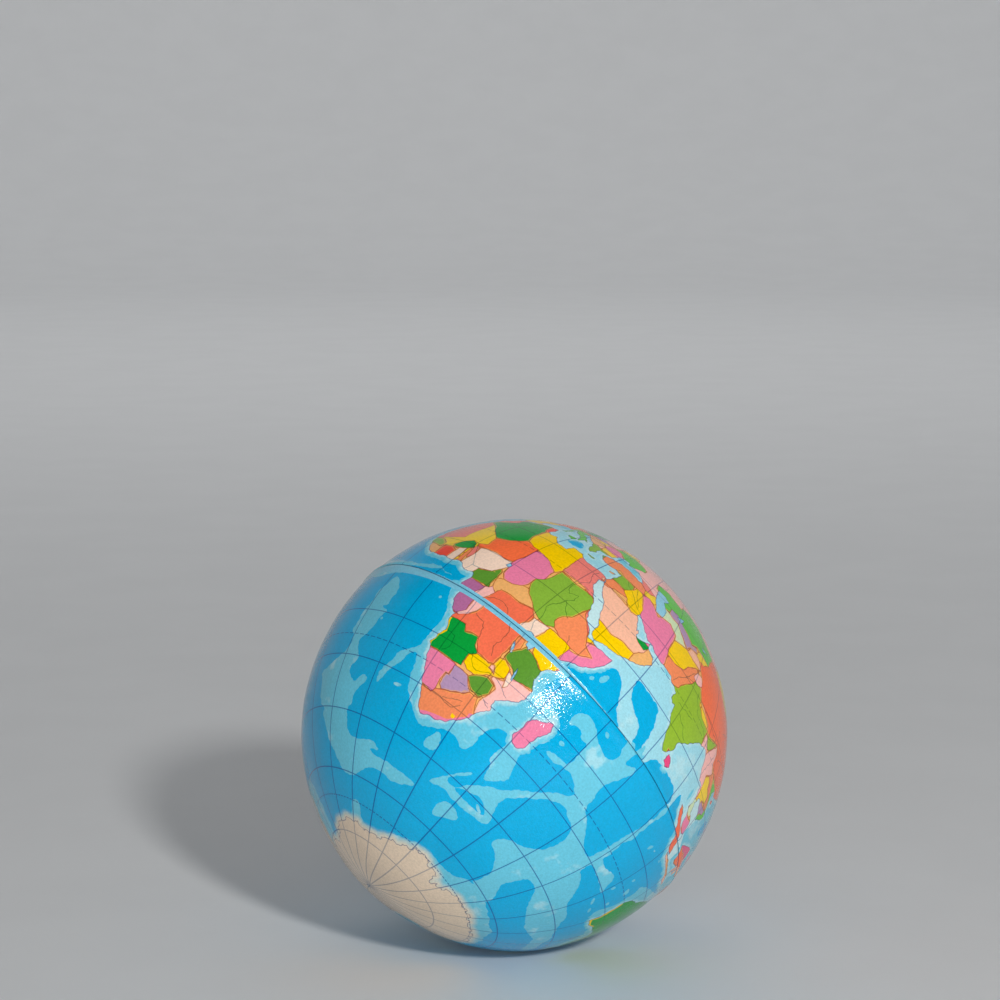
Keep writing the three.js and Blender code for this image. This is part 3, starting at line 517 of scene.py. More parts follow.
grass: 19 42, 20.6 42.4, 23 41.8, 26.4 41.8, 27 39, 28 34, 22 35, 19 38.6
corn: 22.4 44.2, 28.8 43.8, 28.2 41.6, 23 41.6
leaf: 22.8 49, 24 51.6, 30 52.9, 34.4 52.3, 38 51, 38.6 48.8, 36 46.8, 34 44, 29.4 45.4,
  29.6 46.4, 26.6 48.4
corn: 23.4 54, 26.4 55.8, 31 55.6, 32.4 53, 30 52.8, 24 51.8
peach: 21 55.4, 20.6 57.6, 24 60, 28 59.6, 27.8 56.6, 26.4 55.6, 23.4 54
lavender: 4 57, 4 63, 14 69.6, 24 72.6, 31 71.6, 28 69, 20 69, 15 66, 12 63, 12 59.4
yellow: 11.6 59, 12 63, 15 66, 20.4 69, 24 66, 21 63, 19 59, 16 54.8, 12.6 55
leaf: 20.4 69, 28.4 70, 30 67, 31.6 63, 28 60.4, 20 59.4, 20.6 63, 24.4 66
salmon: 7.6 54.9, 7.6 58.2, 12.8 58, 13 54.6
pink: -8 49, -8 59.8, 3 59, 3 50
leaf: -11 51, -11 56, -6.2 55.6, -5.8 51.8
corn: -25 63, -25 67, -13 67, -13 63
# the Americas
pink: -142 49, -50 40, -50 85, -142 85
orange: -126 49, -95 49, -88 48, -83 45.6, -82.6 42, -79 43.4, -75 45, -70.8 47, -66.6 45, -60 40,
  -78 24, -97 25.6, -101 29.6, -104.6 29.4, -108 31.4, -117.4 32.4, -128 40
orange: -170 50, -141 58, -141 75, -170 75
orange: -141 60.4, -136 58.6, -130 56, -131 54.6, -142 58
leaf: -118 32.5, -108 31.5, -104.6 29.5, -101 29.7, -97 25.7, -94 20, -86 22, -88.4 17.8, -92 15,
  -92.4 13.6, -106 17, -118 30
yellow: -92.4 13.6, -92 15, -88.4 18, -87.6 15.6, -89.4 13.2
peach: -89.4 13.2, -87.6 15.8, -82 16, -83.4 10.8, -87 10
violet: -86 10.8, -83.4 11, -77.2 9.6, -77.2 7, -83 7
tangerine: -86 24, -74 24, -74 19, -86 19
leaf: -74.6 20.6, -68 20, -68 17, -74.6 17
apricot: -75 85, -10 85, -10 69, -44 58, -56 62, -56 72, -68 78
yellow: -77.4 7, -77.4 9.6, -72 13.4, -71.6 10.6, -72.4 7.4, -67.4 6.2, -67 1.2, -70 -4.2,
  -78.8 1.2, -79 5
tangerine: -71.8 13, -60 12, -60 8, -61 5, -64 3.8, -67 1.4, -67.4 6.2, -72.4 7.4
peach: -60 8.4, -50 7, -51.6 3.8, -56 2, -59.6 1.6, -61 5
leaf: -50 5, -51.6 3.8, -56 2, -59.6 1.6, -61 4.6, -64 3.8, -67 1.3, -70 -4, -73 -8, -70 -11,
  -65 -10.6, -60 -14, -58 -18, -57.6 -22, -54.4 -24, -54 -27, -57.6 -30.2, -53 -34.6, -30 -20,
  -30 -2
salmon: -81 1.4, -78.8 1.3, -75.4 -1.4, -79 -4.8, -82 -4
pink: -82 -4, -79 -4.8, -75.4 -1.2, -72.6 -2.6, -70 -4.2, -73 -8, -70.6 -11, -69 -15, -70.4 -18.4,
  -84 -10
corn: -70.4 -11, -65 -10.4, -60.2 -13.8, -58 -18, -62.6 -22, -67.6 -22.8, -69.4 -17.6
violet: -62.6 -20, -58 -19.8, -57.8 -22.2, -54.4 -24, -55.8 -27.4, -58.4 -27, -62.6 -22.2
peach: -67.8 -22.6, -62.6 -22.2, -58.4 -27, -54 -26.4, -57.6 -30.2, -58.2 -34, -50 -40, -60 -57,
  -68.6 -52, -72 -50, -71 -40, -70 -31
apricot: -57.6 -30.2, -53.2 -33.4, -52 -37, -58.4 -35, -58.2 -33
lavender: -72 -17.6, -69.2 -17.6, -67.8 -22.8, -70 -31, -71 -40, -72.2 -50, -68.4 -52.4,
  -66 -54.4, -70 -58, -80 -50, -76 -30
peach: -62 -51, -57 -51, -57 -53, -62 -53
"""

LAKES = """
31.7 -0.4, 33 0.6, 34.2 0.2, 34 -1.6, 33.2 -3.6, 31.9 -2.6
29.3 -3.6, 29.9 -4.6, 30.6 -7.2, 30.2 -7.6, 29.4 -5.6
34.3 -9.8, 34.8 -11.2, 35.2 -14, 34.7 -13.8, 34.3 -11.6
13.6 13.4, 14.6 13, 15 14.2, 14 14.8
47 47, 50.6 47.4, 53 46.2, 51.4 44, 54 41, 54 37.4, 51 37, 49.2 40.4, 47.8 43.4
58.4 44.4, 61.6 46.6, 60.8 43.8
74 46.4, 78.6 46.8, 75 45.4
104 51.6, 108 53, 110 55.6, 107 53, 105 51.9
30 60.4, 32.6 61, 32 60, 30.6 59.9
34.6 61, 36.4 62.4, 36 61
-92 46.8, -88 48.6, -84.6 46.6, -88 47
-88 42, -87.6 44.6, -85.4 45.8, -86.4 43, -87 41.8
-84 45.6, -81 45.8, -82 43.2, -83.6 44
-83 41.8, -79 42.8, -81 42.4
-79.6 43.5, -76.4 44, -78 43.4
-98 51, -96.4 53.4, -97 50.6
-117 61.4, -110 62.6, -112 61.4
-124 65.4, -118 66.6, -121 65.2
-72 10, -71 10.8, -71 9.4
-70 -15.4, -68.8 -16.4, -69.8 -15.9
"""

RIVERS = """
31.4 31.8, 31 29, 32.6 25.8, 31 23, 30.4 20.2, 31.6 18, 33.8 19.4, 34 17.2, 32.6 15.4, 31.8 12.4,
  30.6 9.6, 31.8 6.8, 31.4 3.8, 32.6 0.8
32.6 15.4, 34.4 13, 36.4 11.4
12.4 -6.4, 14.6 -5, 16.4 -3, 17.4 0.2, 19.5 2.2, 22 2.6, 24.6 1.4, 25.6 -0.6, 26.6 -3.4,
  26.8 -6.4, 26 -9, 27.2 -11.8
17 -3.4, 20 -4.6, 21.4 -8, 21.6 -10.4
5.8 5.4, 6.6 8, 5 10.4, 3.4 12.4, 1 15.4, -2 16.6, -5 14.6, -9 11.6
6.6 8, 9.6 8.2, 12.8 9.2
36.8 -18.8, 33.2 -16.8, 29.4 -16.2, 26.4 -18, 24.2 -16.6, 23 -14
16.2 -29.4, 19 -29.6, 22.6 -29.8, 26.6 -30.6, 28.6 -28.6
23.2 -29.6, 25.6 -28.4, 28.4 -27.4
34.8 -24.4, 31.4 -22.6, 28.6 -23.6
13.4 -12.4, 16.4 -13, 17 -16.6, 15.6 -18.4
42.6 -0.4, 42 2.6, 41 5.4, 40 7.6
48.6 30.6, 46 32, 44 33.6, 41 35.6, 38.4 37.6
46.8 31.6, 45.4 33.8, 43.4 36.4, 42 38
67.6 24, 68.6 27, 70.8 29.4, 72.6 32.6, 74.6 35.4
71 29.6, 74.6 31.4, 77 32.6
88.4 22, 87.6 24.6, 84 25.4, 80.4 26.4, 78.4 29, 78 30.6
90.4 22.8, 90 25.4, 94 27.2, 95.4 29.2, 90 29.4, 84 29.8
81.6 16.2, 78.6 18.4, 75 19.6
73 21.6, 76.4 22.4, 80 22.8
95.4 16, 95.6 20, 96.6 24, 97.6 26.6
106.4 10.4, 105.4 14.4, 104.4 17.6, 101.4 20.4, 100.4 24, 98.8 28, 96 31
121 31.6, 116 30, 112 30.4, 108 29.4, 104 28.4, 101 26.4, 99.4 29.4, 96 33
118.6 37.6, 114 35, 110.6 35, 111 40, 107 40.4, 104 36.4, 100 34.6
48 46.4, 45.4 48.6, 49 52.4, 49 55.4, 44 56.4, 38 57.6
69 67, 66 63.4, 69 60.4, 76 58.6, 83 55, 85 52
83 71, 87 66.4, 90 61, 92.6 56, 94 52.4
127 72.4, 124 67, 129 63, 120 60, 110 57.4, 106 54
29.4 45, 26 44, 21 45, 19 47.4, 13 48.4, 9 48
-51 -0.6, -55 -2.2, -60 -3.2, -66 -2.6, -70 -4, -74 -5
-60 -3.2, -63 -7, -66 -11
-58.4 -34, -60 -31, -58 -27.4, -54.6 -24, -51 -20
-62 8.6, -66 7.4, -67.4 4, -64.6 2.4
-89.4 29.4, -91 33, -89.4 37, -91 41, -94 45.6
-91 39, -96 41.4, -100 44.6, -104 47.8, -111 47.4
-97 25.8, -101 29.6, -105.6 32, -107 36
-123.6 46.2, -119.4 46, -118 49, -116 51
-134 69, -127 66, -122 62, -114 61
-165 62.6, -158 64.8, -150 65.4, -141 64.6
"""


# ---------------------------------------------------------------------------------------------
# The printed map on each film: how the sheet was turned, tipped and stretched when it was formed
# ---------------------------------------------------------------------------------------------
# How wide round the pole the slip reaches, in degrees, and how often an inverse is refined
POLE_SLIP_WIDTH = 14.0
SETTLING_STEPS = 12
ON_EQUATOR = 1e-9


@dataclass
class Print:
    """One film's map, in degrees. The side is 1 for the northern film and -1 for the southern.

    The map is tipped about x and y and turned about z. The stretch round the pole is uneven by a
    cosine and a sine of the longitude, and the stretch away from it by sines of two and four
    times the angle. The pole's slip is sideways, in x and y."""

    side: int
    tip: tuple
    turn: float
    round_stretch: tuple
    outward_stretch: tuple
    pole_slip: tuple = (0.0, 0.0)

    def tipping(self):
        """The rotation that tips the map."""
        angles = np.radians([*self.tip, 0.0])
        size = float(np.linalg.norm(angles))
        return np.array(Matrix.Rotation(size, 3, Vector(angles / size)))

    def on_film(self, longitude, latitude):
        """Unit vectors on the film where the map's longitudes and latitudes, in degrees, lie."""
        east, north = np.radians(longitude), np.radians(latitude)
        cosine, sine = np.radians(self.round_stretch)
        turned = east + math.radians(self.turn) + cosine * np.cos(east) + sine * np.sin(east)
        flat = directions(turned, north) @ self.tipping().T
        reach = np.arccos(np.clip(self.side * flat[:, 2], -1, 1))
        second, fourth = np.radians(self.outward_stretch)
        reach = reach + second * np.sin(2 * reach) + fourth * np.sin(4 * reach)
        unit = from_pole(self.side, reach, np.arctan2(flat[:, 1], flat[:, 0]))
        return self.slipped(unit, unit, 1)

    def slipped(self, unit, at, way):
        """The film's middle slid sideways: most at the map's pole, and nothing away from it."""
        pole = self.side * self.tipping()[:, 2]
        away = np.arccos(np.clip(at @ pole, -1, 1))
        share = np.exp(-((away / math.radians(POLE_SLIP_WIDTH)) ** 2))
        moved = unit.copy()
        moved[:, :2] += way * share[:, None] * np.radians(self.pole_slip)
        return moved / np.linalg.norm(moved, axis=1)[:, None]

    def on_map(self, unit):
        """The map's longitude and latitude, in radians, at unit vectors on the film."""
        film = unit
        for _ in range(SETTLING_STEPS):
            unit = self.slipped(film, unit, -1)
        stretched = np.arccos(np.clip(self.side * unit[:, 2], -1, 1))
        second, fourth = np.radians(self.outward_stretch)
        reach = stretched.copy()
        for _ in range(SETTLING_STEPS):
            reach = stretched - second * np.sin(2 * reach) - fourth * np.sin(4 * reach)
        flat = from_pole(self.side, reach, np.arctan2(unit[:, 1], unit[:, 0])) @ self.tipping()
        turned = np.arctan2(flat[:, 1], flat[:, 0]) - math.radians(self.turn)
        cosine, sine = np.radians(self.round_stretch)
        east = turned.copy()
        for _ in range(SETTLING_STEPS):
            east = turned - cosine * np.cos(east) - sine * np.sin(east)
        east = (east + math.pi) % (2 * math.pi) - math.pi
        return east, np.arcsin(np.clip(flat[:, 2], -1, 1))


def directions(east, north):
    """Unit vectors at longitudes and latitudes in radians."""
    return np.stack([np.cos(north) * np.cos(east), np.cos(north) * np.sin(east), np.sin(north)], 1)


def from_pole(side, reach, heading):
    """Unit vectors at an angle `reach` from a film's pole, in radians."""
    across = np.sin(reach)
    return np.stack([across * np.cos(heading), across * np.sin(heading), side * np.cos(reach)], 1)


NORTH = Print(1, (-0.10, 0.65), -134.4, (-1.51, 1.93), (0.07, -0.92))
SOUTH = Print(-1, (0.23, -2.48), 221.97, (3.28, 5.58), (5.18, 0.41), (-1.9, 4.6))


# ---------------------------------------------------------------------------------------------
# Outlines
# ---------------------------------------------------------------------------------------------
# How far a line wanders aside, as a share of the length of the piece that is split
COAST_ROUGHNESS = 0.13
BORDER_ROUGHNESS = 0.06
ICE_ROUGHNESS = 0.34
SEABED_ROUGHNESS = 0.15

# The length, in degrees, under which a piece isn't split, and the narrowest that a degree of
# longitude counts near the poles, beside one of latitude
LINE_STEP = 0.8
POLE_SQUEEZE = 0.15


def entries(table):
    """A table's entries, each on one line, without the notes between them."""
    lines = [line for line in table.strip().splitlines() if not line.startswith("#")]
    return "\n".join(lines).replace("\n  ", " ").split("\n")


def named(table):
    """The name and the points of each of a table's entries."""
    return [(name, points_of(text)) for name, text in (e.split(": ") for e in entries(table))]


def points_of(text):
    """The (longitude, latitude) points of an outline's text, in degrees."""
    return [tuple(float(n) for n in pair.split()) for pair in text.split(",")]


def rounded_off(points, times):
    """A closed outline with its corners cut, for the soft-edged shapes of the sea bed."""
    for _ in range(times):
        ring = zip(points, points[1:] + points[:1])
        points = [
            (a[0] + (b[0] - a[0]) * share, a[1] + (b[1] - a[1]) * share)
            for a, b in ring
            for share in (0.25, 0.75)
        ]
    return points


def roughened(points, roughness, closed=True):
    """An outline split into short steps, with each split moved aside, as a drawn coast wanders."""
    ends = points[1:] + points[:1] if closed else points[1:]
    made = []
    for a, b in zip(points, ends):
        made.append(a)
        low, high = sorted((a, b))
        steps = wandering(low, high, roughness, random.Random(f"{low} {high}"))
        made.extend(steps if low == a else steps[::-1])
    if not closed:
        made.append(points[-1])
    return np.array(made)


def wandering(a, b, roughness, chance):
    """The points between a and b, found by splitting in the middle again and again."""
    squeeze = max(POLE_SQUEEZE, math.cos(math.radians((a[1] + b[1]) / 2)))
    east, north = (b[0] - a[0]) * squeeze, b[1] - a[1]
    length = math.hypot(east, north)
    if length < LINE_STEP:
        return []
    aside = roughness * chance.uniform(-1, 1)
    middle = (
        (a[0] + b[0]) / 2 - aside * north / squeeze,
        (a[1] + b[1]) / 2 + aside * east,
    )
    return [
        *wandering(a, middle, roughness, chance),
        middle,
        *wandering(middle, b, roughness, chance),
    ]


def inside(outline, east, north):
    """Whether each map point, in degrees, is inside an outline."""
    found = np.zeros(len(east), bool)
    low, high = outline.min(0), outline.max(0)
    for turn in (-360.0, 0.0, 360.0):
        near = (east + turn > low[0]) & (east + turn < high[0])
        rows = np.flatnonzero(near & (north > low[1]) & (north < high[1]))
        if not len(rows):
            continue
        x, y = east[rows] + turn, north[rows]
        odd = np.zeros(len(rows), bool)
        following = np.roll(outline, -1, 0)
        for (ax, ay), (bx, by) in zip(outline, following):
            if ay != by:
                crosses = (ay > y) != (by > y)
                odd ^= crosses & (x < (bx - ax) * (y - ay) / (by - ay) + ax)
        found[rows] |= odd
    return found


ocean_shapes = [
    (ink, roughened(rounded_off(points, 1), SEABED_ROUGHNESS))
    for ink, points in named(OCEAN_SHAPES)
]
lands = [roughened(points, COAST_ROUGHNESS) for _, points in named(LAND)]
ice_sheets = [roughened(points, ICE_ROUGHNESS) for _, points in named(ICE)]
countries = [(ink, roughened(points, BORDER_ROUGHNESS)) for ink, points in named(COUNTRIES)]
lakes = [roughened(points_of(text), BORDER_ROUGHNESS) for text in entries(LAKES)]
rivers = [roughened(points_of(text), COAST_ROUGHNESS, closed=False) for text in entries(RIVERS)]


def linear(hex_colour):
    """A colour written as #RRGGBB, as the linear numbers that Blender works in."""
    parts = np.array([int(hex_colour[i : i + 2], 16) for i in (1, 3, 5)]) / 255
    return np.where(parts <= 0.04045, parts / 12.92, ((parts + 0.055) / 1.055) ** 2.4)


ink_names = list(INKS)
ink_colours = np.array([linear(INKS[name]) for name in ink_names])
ink_index = {name: i for i, name in enumerate(ink_names)}

# The regions are numbered as the countries are, and these are the others
WATER = -1
BLED = -2
PLAIN_LAND = len(countries)
ICE_SHEET = len(countries) + 1


def painted(print_, east, north):
    """For map points in degrees: the ink on each, and the number of the region that it is in."""
    ink = np.full(len(east), ink_index["deep"])
    region = np.full(len(east), WATER)
    for name, outline in ocean_shapes:
        ink[inside(outline, east, north)] = ink_index[name]
    land = np.zeros(len(east), bool)
    for outline in lands:
        land |= inside(outline, east, north)
    ice = np.zeros(len(east), bool)
    for outline in ice_sheets:
        ice |= inside(outline, east, north)
    for number, (name, outline) in enumerate(countries):
        rows = np.flatnonzero(land)
        rows = rows[inside(outline, east[rows], north[rows])]
        ink[rows] = ink_index[name.removesuffix(FRINGE)]
        if not name.endswith(FRINGE):
            region[rows] = number
    plain = land & (region < 0)
    ink[plain] = ink_index["apricot"]
    region[plain] = PLAIN_LAND
    ink[ice] = ink_index["ice"]
    region[ice] = ICE_SHEET
    for outline in lakes:
        rows = np.flatnonzero(region >= 0)
        rows = rows[inside(outline, east[rows], north[rows])]
        ink[rows] = ink_index["lake"]
        region[rows] = WATER
    bleed = print_.side * north < 0
    ink[bleed] = ink_index["bleed"]
    region[bleed] = BLED
    return ink, region


def without_rim_band(side, unit, east, ink, region):
    """The inks and regions, with the land along the rim taken out."""
    band = distance_from_rim(side, unit) < RIM_BAND[side]
    band &= (region >= 0) | (ink == ink_index["lake"])
    band &= np.degrees(east) < RIM_BAND_EAST_END
    ink[band] = ink_index["bleed"]
    region[band] = BLED
    return ink, region


# ---------------------------------------------------------------------------------------------
# The films' mesh
# ---------------------------------------------------------------------------------------------
def seam_height(heading):
    """How far the wandering seam stands north of the ball's middle, in millimetres."""
    return SEAM_WANDER * np.cos(SEAM_WAVES * (heading - math.radians(SEAM_WAVE_AT)))


def rim_reach(side, heading):
    """How far a film reaches from its pole, in radians, as its rim follows the wandering seam."""
    return math.pi / 2 - (SEAM_GAP / 2 + side * seam_height(heading)) / RADIUS


def distance_from_rim(side, unit):
    """How far unit vectors are from their film's rim, in millimetres."""
    heading = np.arctan2(unit[:, 1], unit[:, 0])
    reach = np.arccos(np.clip(side * unit[:, 2], -1, 1))
    return np.maximum(0, (rim_reach(side, heading) - reach) * RADIUS)


def lip_rise(from_rim):
    """How far the film stands out at a distance from its rim: a low rounded lip."""
    outer = np.clip((from_rim - LIP_CREST) / (LIP_FOOT - LIP_CREST), 0, 1)
    inner = np.clip(from_rim / LIP_CREST, 0, 1)
    away = 0.5 + 0.5 * np.cos(math.pi * outer)
    rolled = LIP_EDGE + (1 - LIP_EDGE) * np.sin(math.pi / 2 * inner)
    return LIP_HEIGHT * np.where(from_rim < LIP_CREST, rolled, away)


def flattened(side, unit):
    """Stereographic plane of a film, in which its rim is about 1 from the middle."""
    return unit[:, :2] / (1 + side * unit[:, 2])[:, None]


def unflattened(side, plane):
    """Unit vectors on the film at points of that plane."""
    square = (plane**2).sum(1)
    z = side * (1 - square) / (1 + square)
    return np.column_stack([2 * plane / (1 + square)[:, None], z])


def sunflower(side, from_rim):
    """Evenly spread points over a film, at least `from_rim` millimetres from its rim."""
    count = int(2 * math.pi * RADIUS**2 / (POINT_SPACING**2 * math.sqrt(3) / 2))
    number = np.arange(count) + 0.5
    reach = np.arccos(1 - number / count)
    heading = number * math.pi * (3 - math.sqrt(5))
    keep = rim_reach(side, heading) - reach > from_rim / RADIUS
    return flattened(side, from_pole(side, reach[keep], heading[keep]))


def seam_rows(side):
    """The close rows of points along the rim. The first one is the rim itself."""
    rows = []
    for number, distance in enumerate(SEAM_ROWS):
        heading = (np.arange(RIM_POINTS) + 0.5 * (number % 2)) * 2 * math.pi / RIM_POINTS
        reach = rim_reach(side, heading) - distance / RADIUS
        rows.append(flattened(side, from_pole(side, reach, heading)))
    return rows


def drawn_lines(print_):
    """The map's outlines and rivers as chains of plane points, cut to what the film holds."""
    outlines = [outline for _, outline in ocean_shapes] + lands + ice_sheets
    outlines += [outline for _, outline in countries] + lakes
    closed = [np.vstack([outline, outline[:1]]) for outline in outlines]
    east = np.arange(-180.0, 181.0, 1.0)
    closed.append(np.stack([east, np.zeros(len(east))], 1))
    outline_chains = [chain for whole in closed for chain in cut_to_film(print_, whole)]
    river_chains = [chain for whole in rivers for chain in cut_to_film(print_, whole)]
    return outline_chains, river_chains


def cut_to_film(print_, chain):
    """The stretches of a map chain that lie on the film, as plane points."""
    side = print_.side
    steps = []
    for a, b in zip(chain[:-1], chain[1:]):
        steps.append(a)
        if a[1] * b[1] < 0:
            steps.append(a + (b - a) * a[1] / (a[1] - b[1]))
    steps.append(chain[-1])
    steps = np.array(steps)
    unit = print_.on_film(steps[:, 0], steps[:, 1])
    heading = np.arctan2(unit[:, 1], unit[:, 0])
    reach = np.arccos(np.clip(side * unit[:, 2], -1, 1))
    clear = rim_reach(side, heading) - reach > CHAIN_CLEARANCE / RADIUS
    shown = (side * steps[:, 1] >= -ON_EQUATOR) & clear
    plane = flattened(side, unit)
    found, run = [], []
    for point, ok in zip(plane, shown):
        if ok:
            run.append(point)
        elif run:
            found.append(np.array(run))
            run = []
    if run:
        found.append(np.array(run))
    return [run for run in found if len(run) > 1]


def search_tree(points):
    """A tree that finds the nearest of some points."""
    tree = kdtree.KDTree(len(points))
    for number, point in enumerate(points):
        tree.insert(point, number)
    tree.balance()
    return tree


def triangulated(side, rows, band, chains, extra):
    """A film's plane as points and triangles. The rim, one more row and each chain are edges."""
    spread = np.vstack([
        *(row for number, row in enumerate(rows) if number not in (0, band)),
        sunflower(side, SEAM_ROWS[-1] + SEAM_CLEARANCE),
    ])
    tree = search_tree(unflattened(side, np.vstack(chains)) * RADIUS)
    clear = [tree.find(p)[2] > LINE_CLEARANCE for p in unflattened(side, spread) * RADIUS]
    points = [*rows[0], *rows[band], *spread[clear], *extra]
    loop = [(i, (i + 1) % RIM_POINTS) for i in range(RIM_POINTS)]
    edges = loop + [(RIM_POINTS + a, RIM_POINTS + b) for a, b in loop]
    for chain in chains:
        first = len(points)
        points.extend(chain)
        edges.extend((first + i, first + i + 1) for i in range(len(chain) - 1))
    points = [Vector(point) for point in points]
    plane, _, faces, _, _, _ = geometry.delaunay_2d_cdt(points, edges, [], 0, WELD)
    return np.array([tuple(p) for p in plane]), np.array([tuple(f) for f in faces])


def distances(targets, points):
    """How far each point is from the nearest target, in millimetres."""
    if not len(targets):
        return np.full(len(points), FAR)
    tree = search_tree(targets)
    return np.array([min(FAR, tree.find(p)[2]) for p in points])


def along(starts, ends):
    """Points along straight pieces, with both ends."""
    made = [starts, ends]
    lengths = np.linalg.norm(ends - starts, axis=1)
    count = max(1, int(math.ceil(lengths.max() / LINE_SAMPLES)))
    long_enough = lengths > LINE_SAMPLES
    for share in np.arange(1, count) / count:
        made.append(starts[long_enough] + (ends - starts)[long_enough] * share)
    return np.vstack(made)


def edges_between(faces, region):
    """The mesh edges whose two faces are in different regions, as coasts and as borders."""
    sides = np.vstack([faces[:, [0, 1]], faces[:, [1, 2]], faces[:, [2, 0]]])
    owner = np.tile(np.arange(len(faces)), 3)
    key = np.sort(sides, axis=1)
    order = np.lexsort((key[:, 1], key[:, 0]))
    key, owner = key[order], owner[order]
    same = (key[1:] == key[:-1]).all(1)
    first = np.flatnonzero(same)
    pairs, a, b = key[first], region[owner[first]], region[owner[first + 1]]
    shown = (a != b) & (a != BLED) & (b != BLED)
    coast = shown & ((a < 0) | (b < 0))
    border = shown & (a >= 0) & (b >= 0)
    return pairs, coast, border


@dataclass
class Sheet:
    """A film's outer face: unit vectors, triangles, and what is printed on each triangle, with
    the distance of each point from the nearest border, coast, river and edge of the ice."""

    unit: np.ndarray
    faces: np.ndarray
    ink: np.ndarray
    region: np.ndarray
    border: np.ndarray
    coast: np.ndarray
    river: np.ndarray
    ice: np.ndarray


def printed_sheet(print_):
    """The outer face of one film, cut along every line of its map."""
    side = print_.side
    rows = seam_rows(side)
    outline_chains, river_chains = drawn_lines(print_)
    chains = outline_chains + river_chains
    banks = [unflattened(side, chain) * RADIUS for chain in river_chains]
    river_points = along(
        np.vstack([bank[:-1] for bank in banks]), np.vstack([bank[1:] for bank in banks])
    )
    extra = np.zeros((0, 2))
    # meshed twice, the second time with points in the gaps that the first one's lines close up
    for attempt in range(2):
        plane, faces = triangulated(side, rows, SEAM_ROWS.index(RIM_BAND[side]), chains, extra)
        faces = tidied(side, plane, faces)
        unit = unflattened(side, plane)
        middle = unit[faces].mean(1)
        middle /= np.linalg.norm(middle, axis=1)[:, None]
        east, north = print_.on_map(middle)
        ink, region = painted(print_, np.degrees(east), np.degrees(north))
        ink, region = without_rim_band(side, middle, east, ink, region)
        pairs, coast, border = edges_between(faces, region)
        points = unit * RADIUS
        coast_points = along(points[pairs[coast][:, 0]], points[pairs[coast][:, 1]])
        border_points = along(points[pairs[border][:, 0]], points[pairs[border][:, 1]])
        if attempt == 0:
            drawn = np.vstack([coast_points, border_points, river_points])
            extra = crowded(side, plane, pairs, drawn)
    coast_distance = distances(coast_points, points)
    border_distance = distances(border_points, points)
    river_distance = distances(river_points, points)
    frozen = np.unique(faces[region == ICE_SHEET])
    ice_distance = distances(points[frozen[coast_distance[frozen] < ON_LINE]], points)
    drawn = (border_distance, coast_distance, river_distance, ice_distance)
    return Sheet(unit, faces, ink, region, *drawn)


def tidied(side, plane, faces):
    """The triangles inside the rim, all turned the same way."""
    on_rim = distance_from_rim(side, unflattened(side, plane)) < ON_RIM
    faces = faces[~on_rim[faces].all(1)]
    a, b, c = (plane[faces[:, i]] for i in range(3))
    area = (b[:, 0] - a[:, 0]) * (c[:, 1] - a[:, 1]) - (b[:, 1] - a[:, 1]) * (c[:, 0] - a[:, 0])
    return np.where((area < 0)[:, None], faces[:, ::-1], faces)


def crowded(side, plane, pairs, drawn):
    """Middles of the edges that join two drawn lines without being one, where a gap must show."""
    on_line = distances(drawn, unflattened(side, plane) * RADIUS) < ON_LINE
    middles = plane[pairs[on_line[pairs].all(1)]].mean(1)
    clear = distances(drawn, unflattened(side, middles) * RADIUS) > CLEAR_OF_LINE
    return middles[clear]


def laid(points):
    """Points of the globe's own frame, in millimetres, laid as the ball lies, in metres."""
    lean, heading = math.radians(AXIS_LEAN), math.radians(AXIS_HEADING)
    across = math.sin(lean)
    pole = Vector((across * math.cos(heading), across * math.sin(heading), math.cos(lean)))
    turn = np.array(Vector((0, 0, 1)).rotation_difference(pole).to_matrix())
    placed = points @ turn.T
    placed[:, 2] = placed[:, 2] * HEIGHT_STRETCH + CENTRE_HEIGHT
    placed[:, 2] = np.maximum(placed[:, 2], 0)
    return placed / 1000


def dented(unit):
    """How far the surface stands out of the true ball, in millimetres."""
    total = np.zeros(len(unit))
    for direction, phase, height in DENTS:
        total += height * np.sin(unit @ np.array(direction) * 2 + phase)
    return total - DRAWN_IN


FILM_BARE = ink_index["cream"]

# The layout for baking, in shares of its width
DISC_SIZE = 0.455
WALL_SIZE = 0.012
INSIDE_PLACE = 0.075
INSIDE_SIZE = 0.06


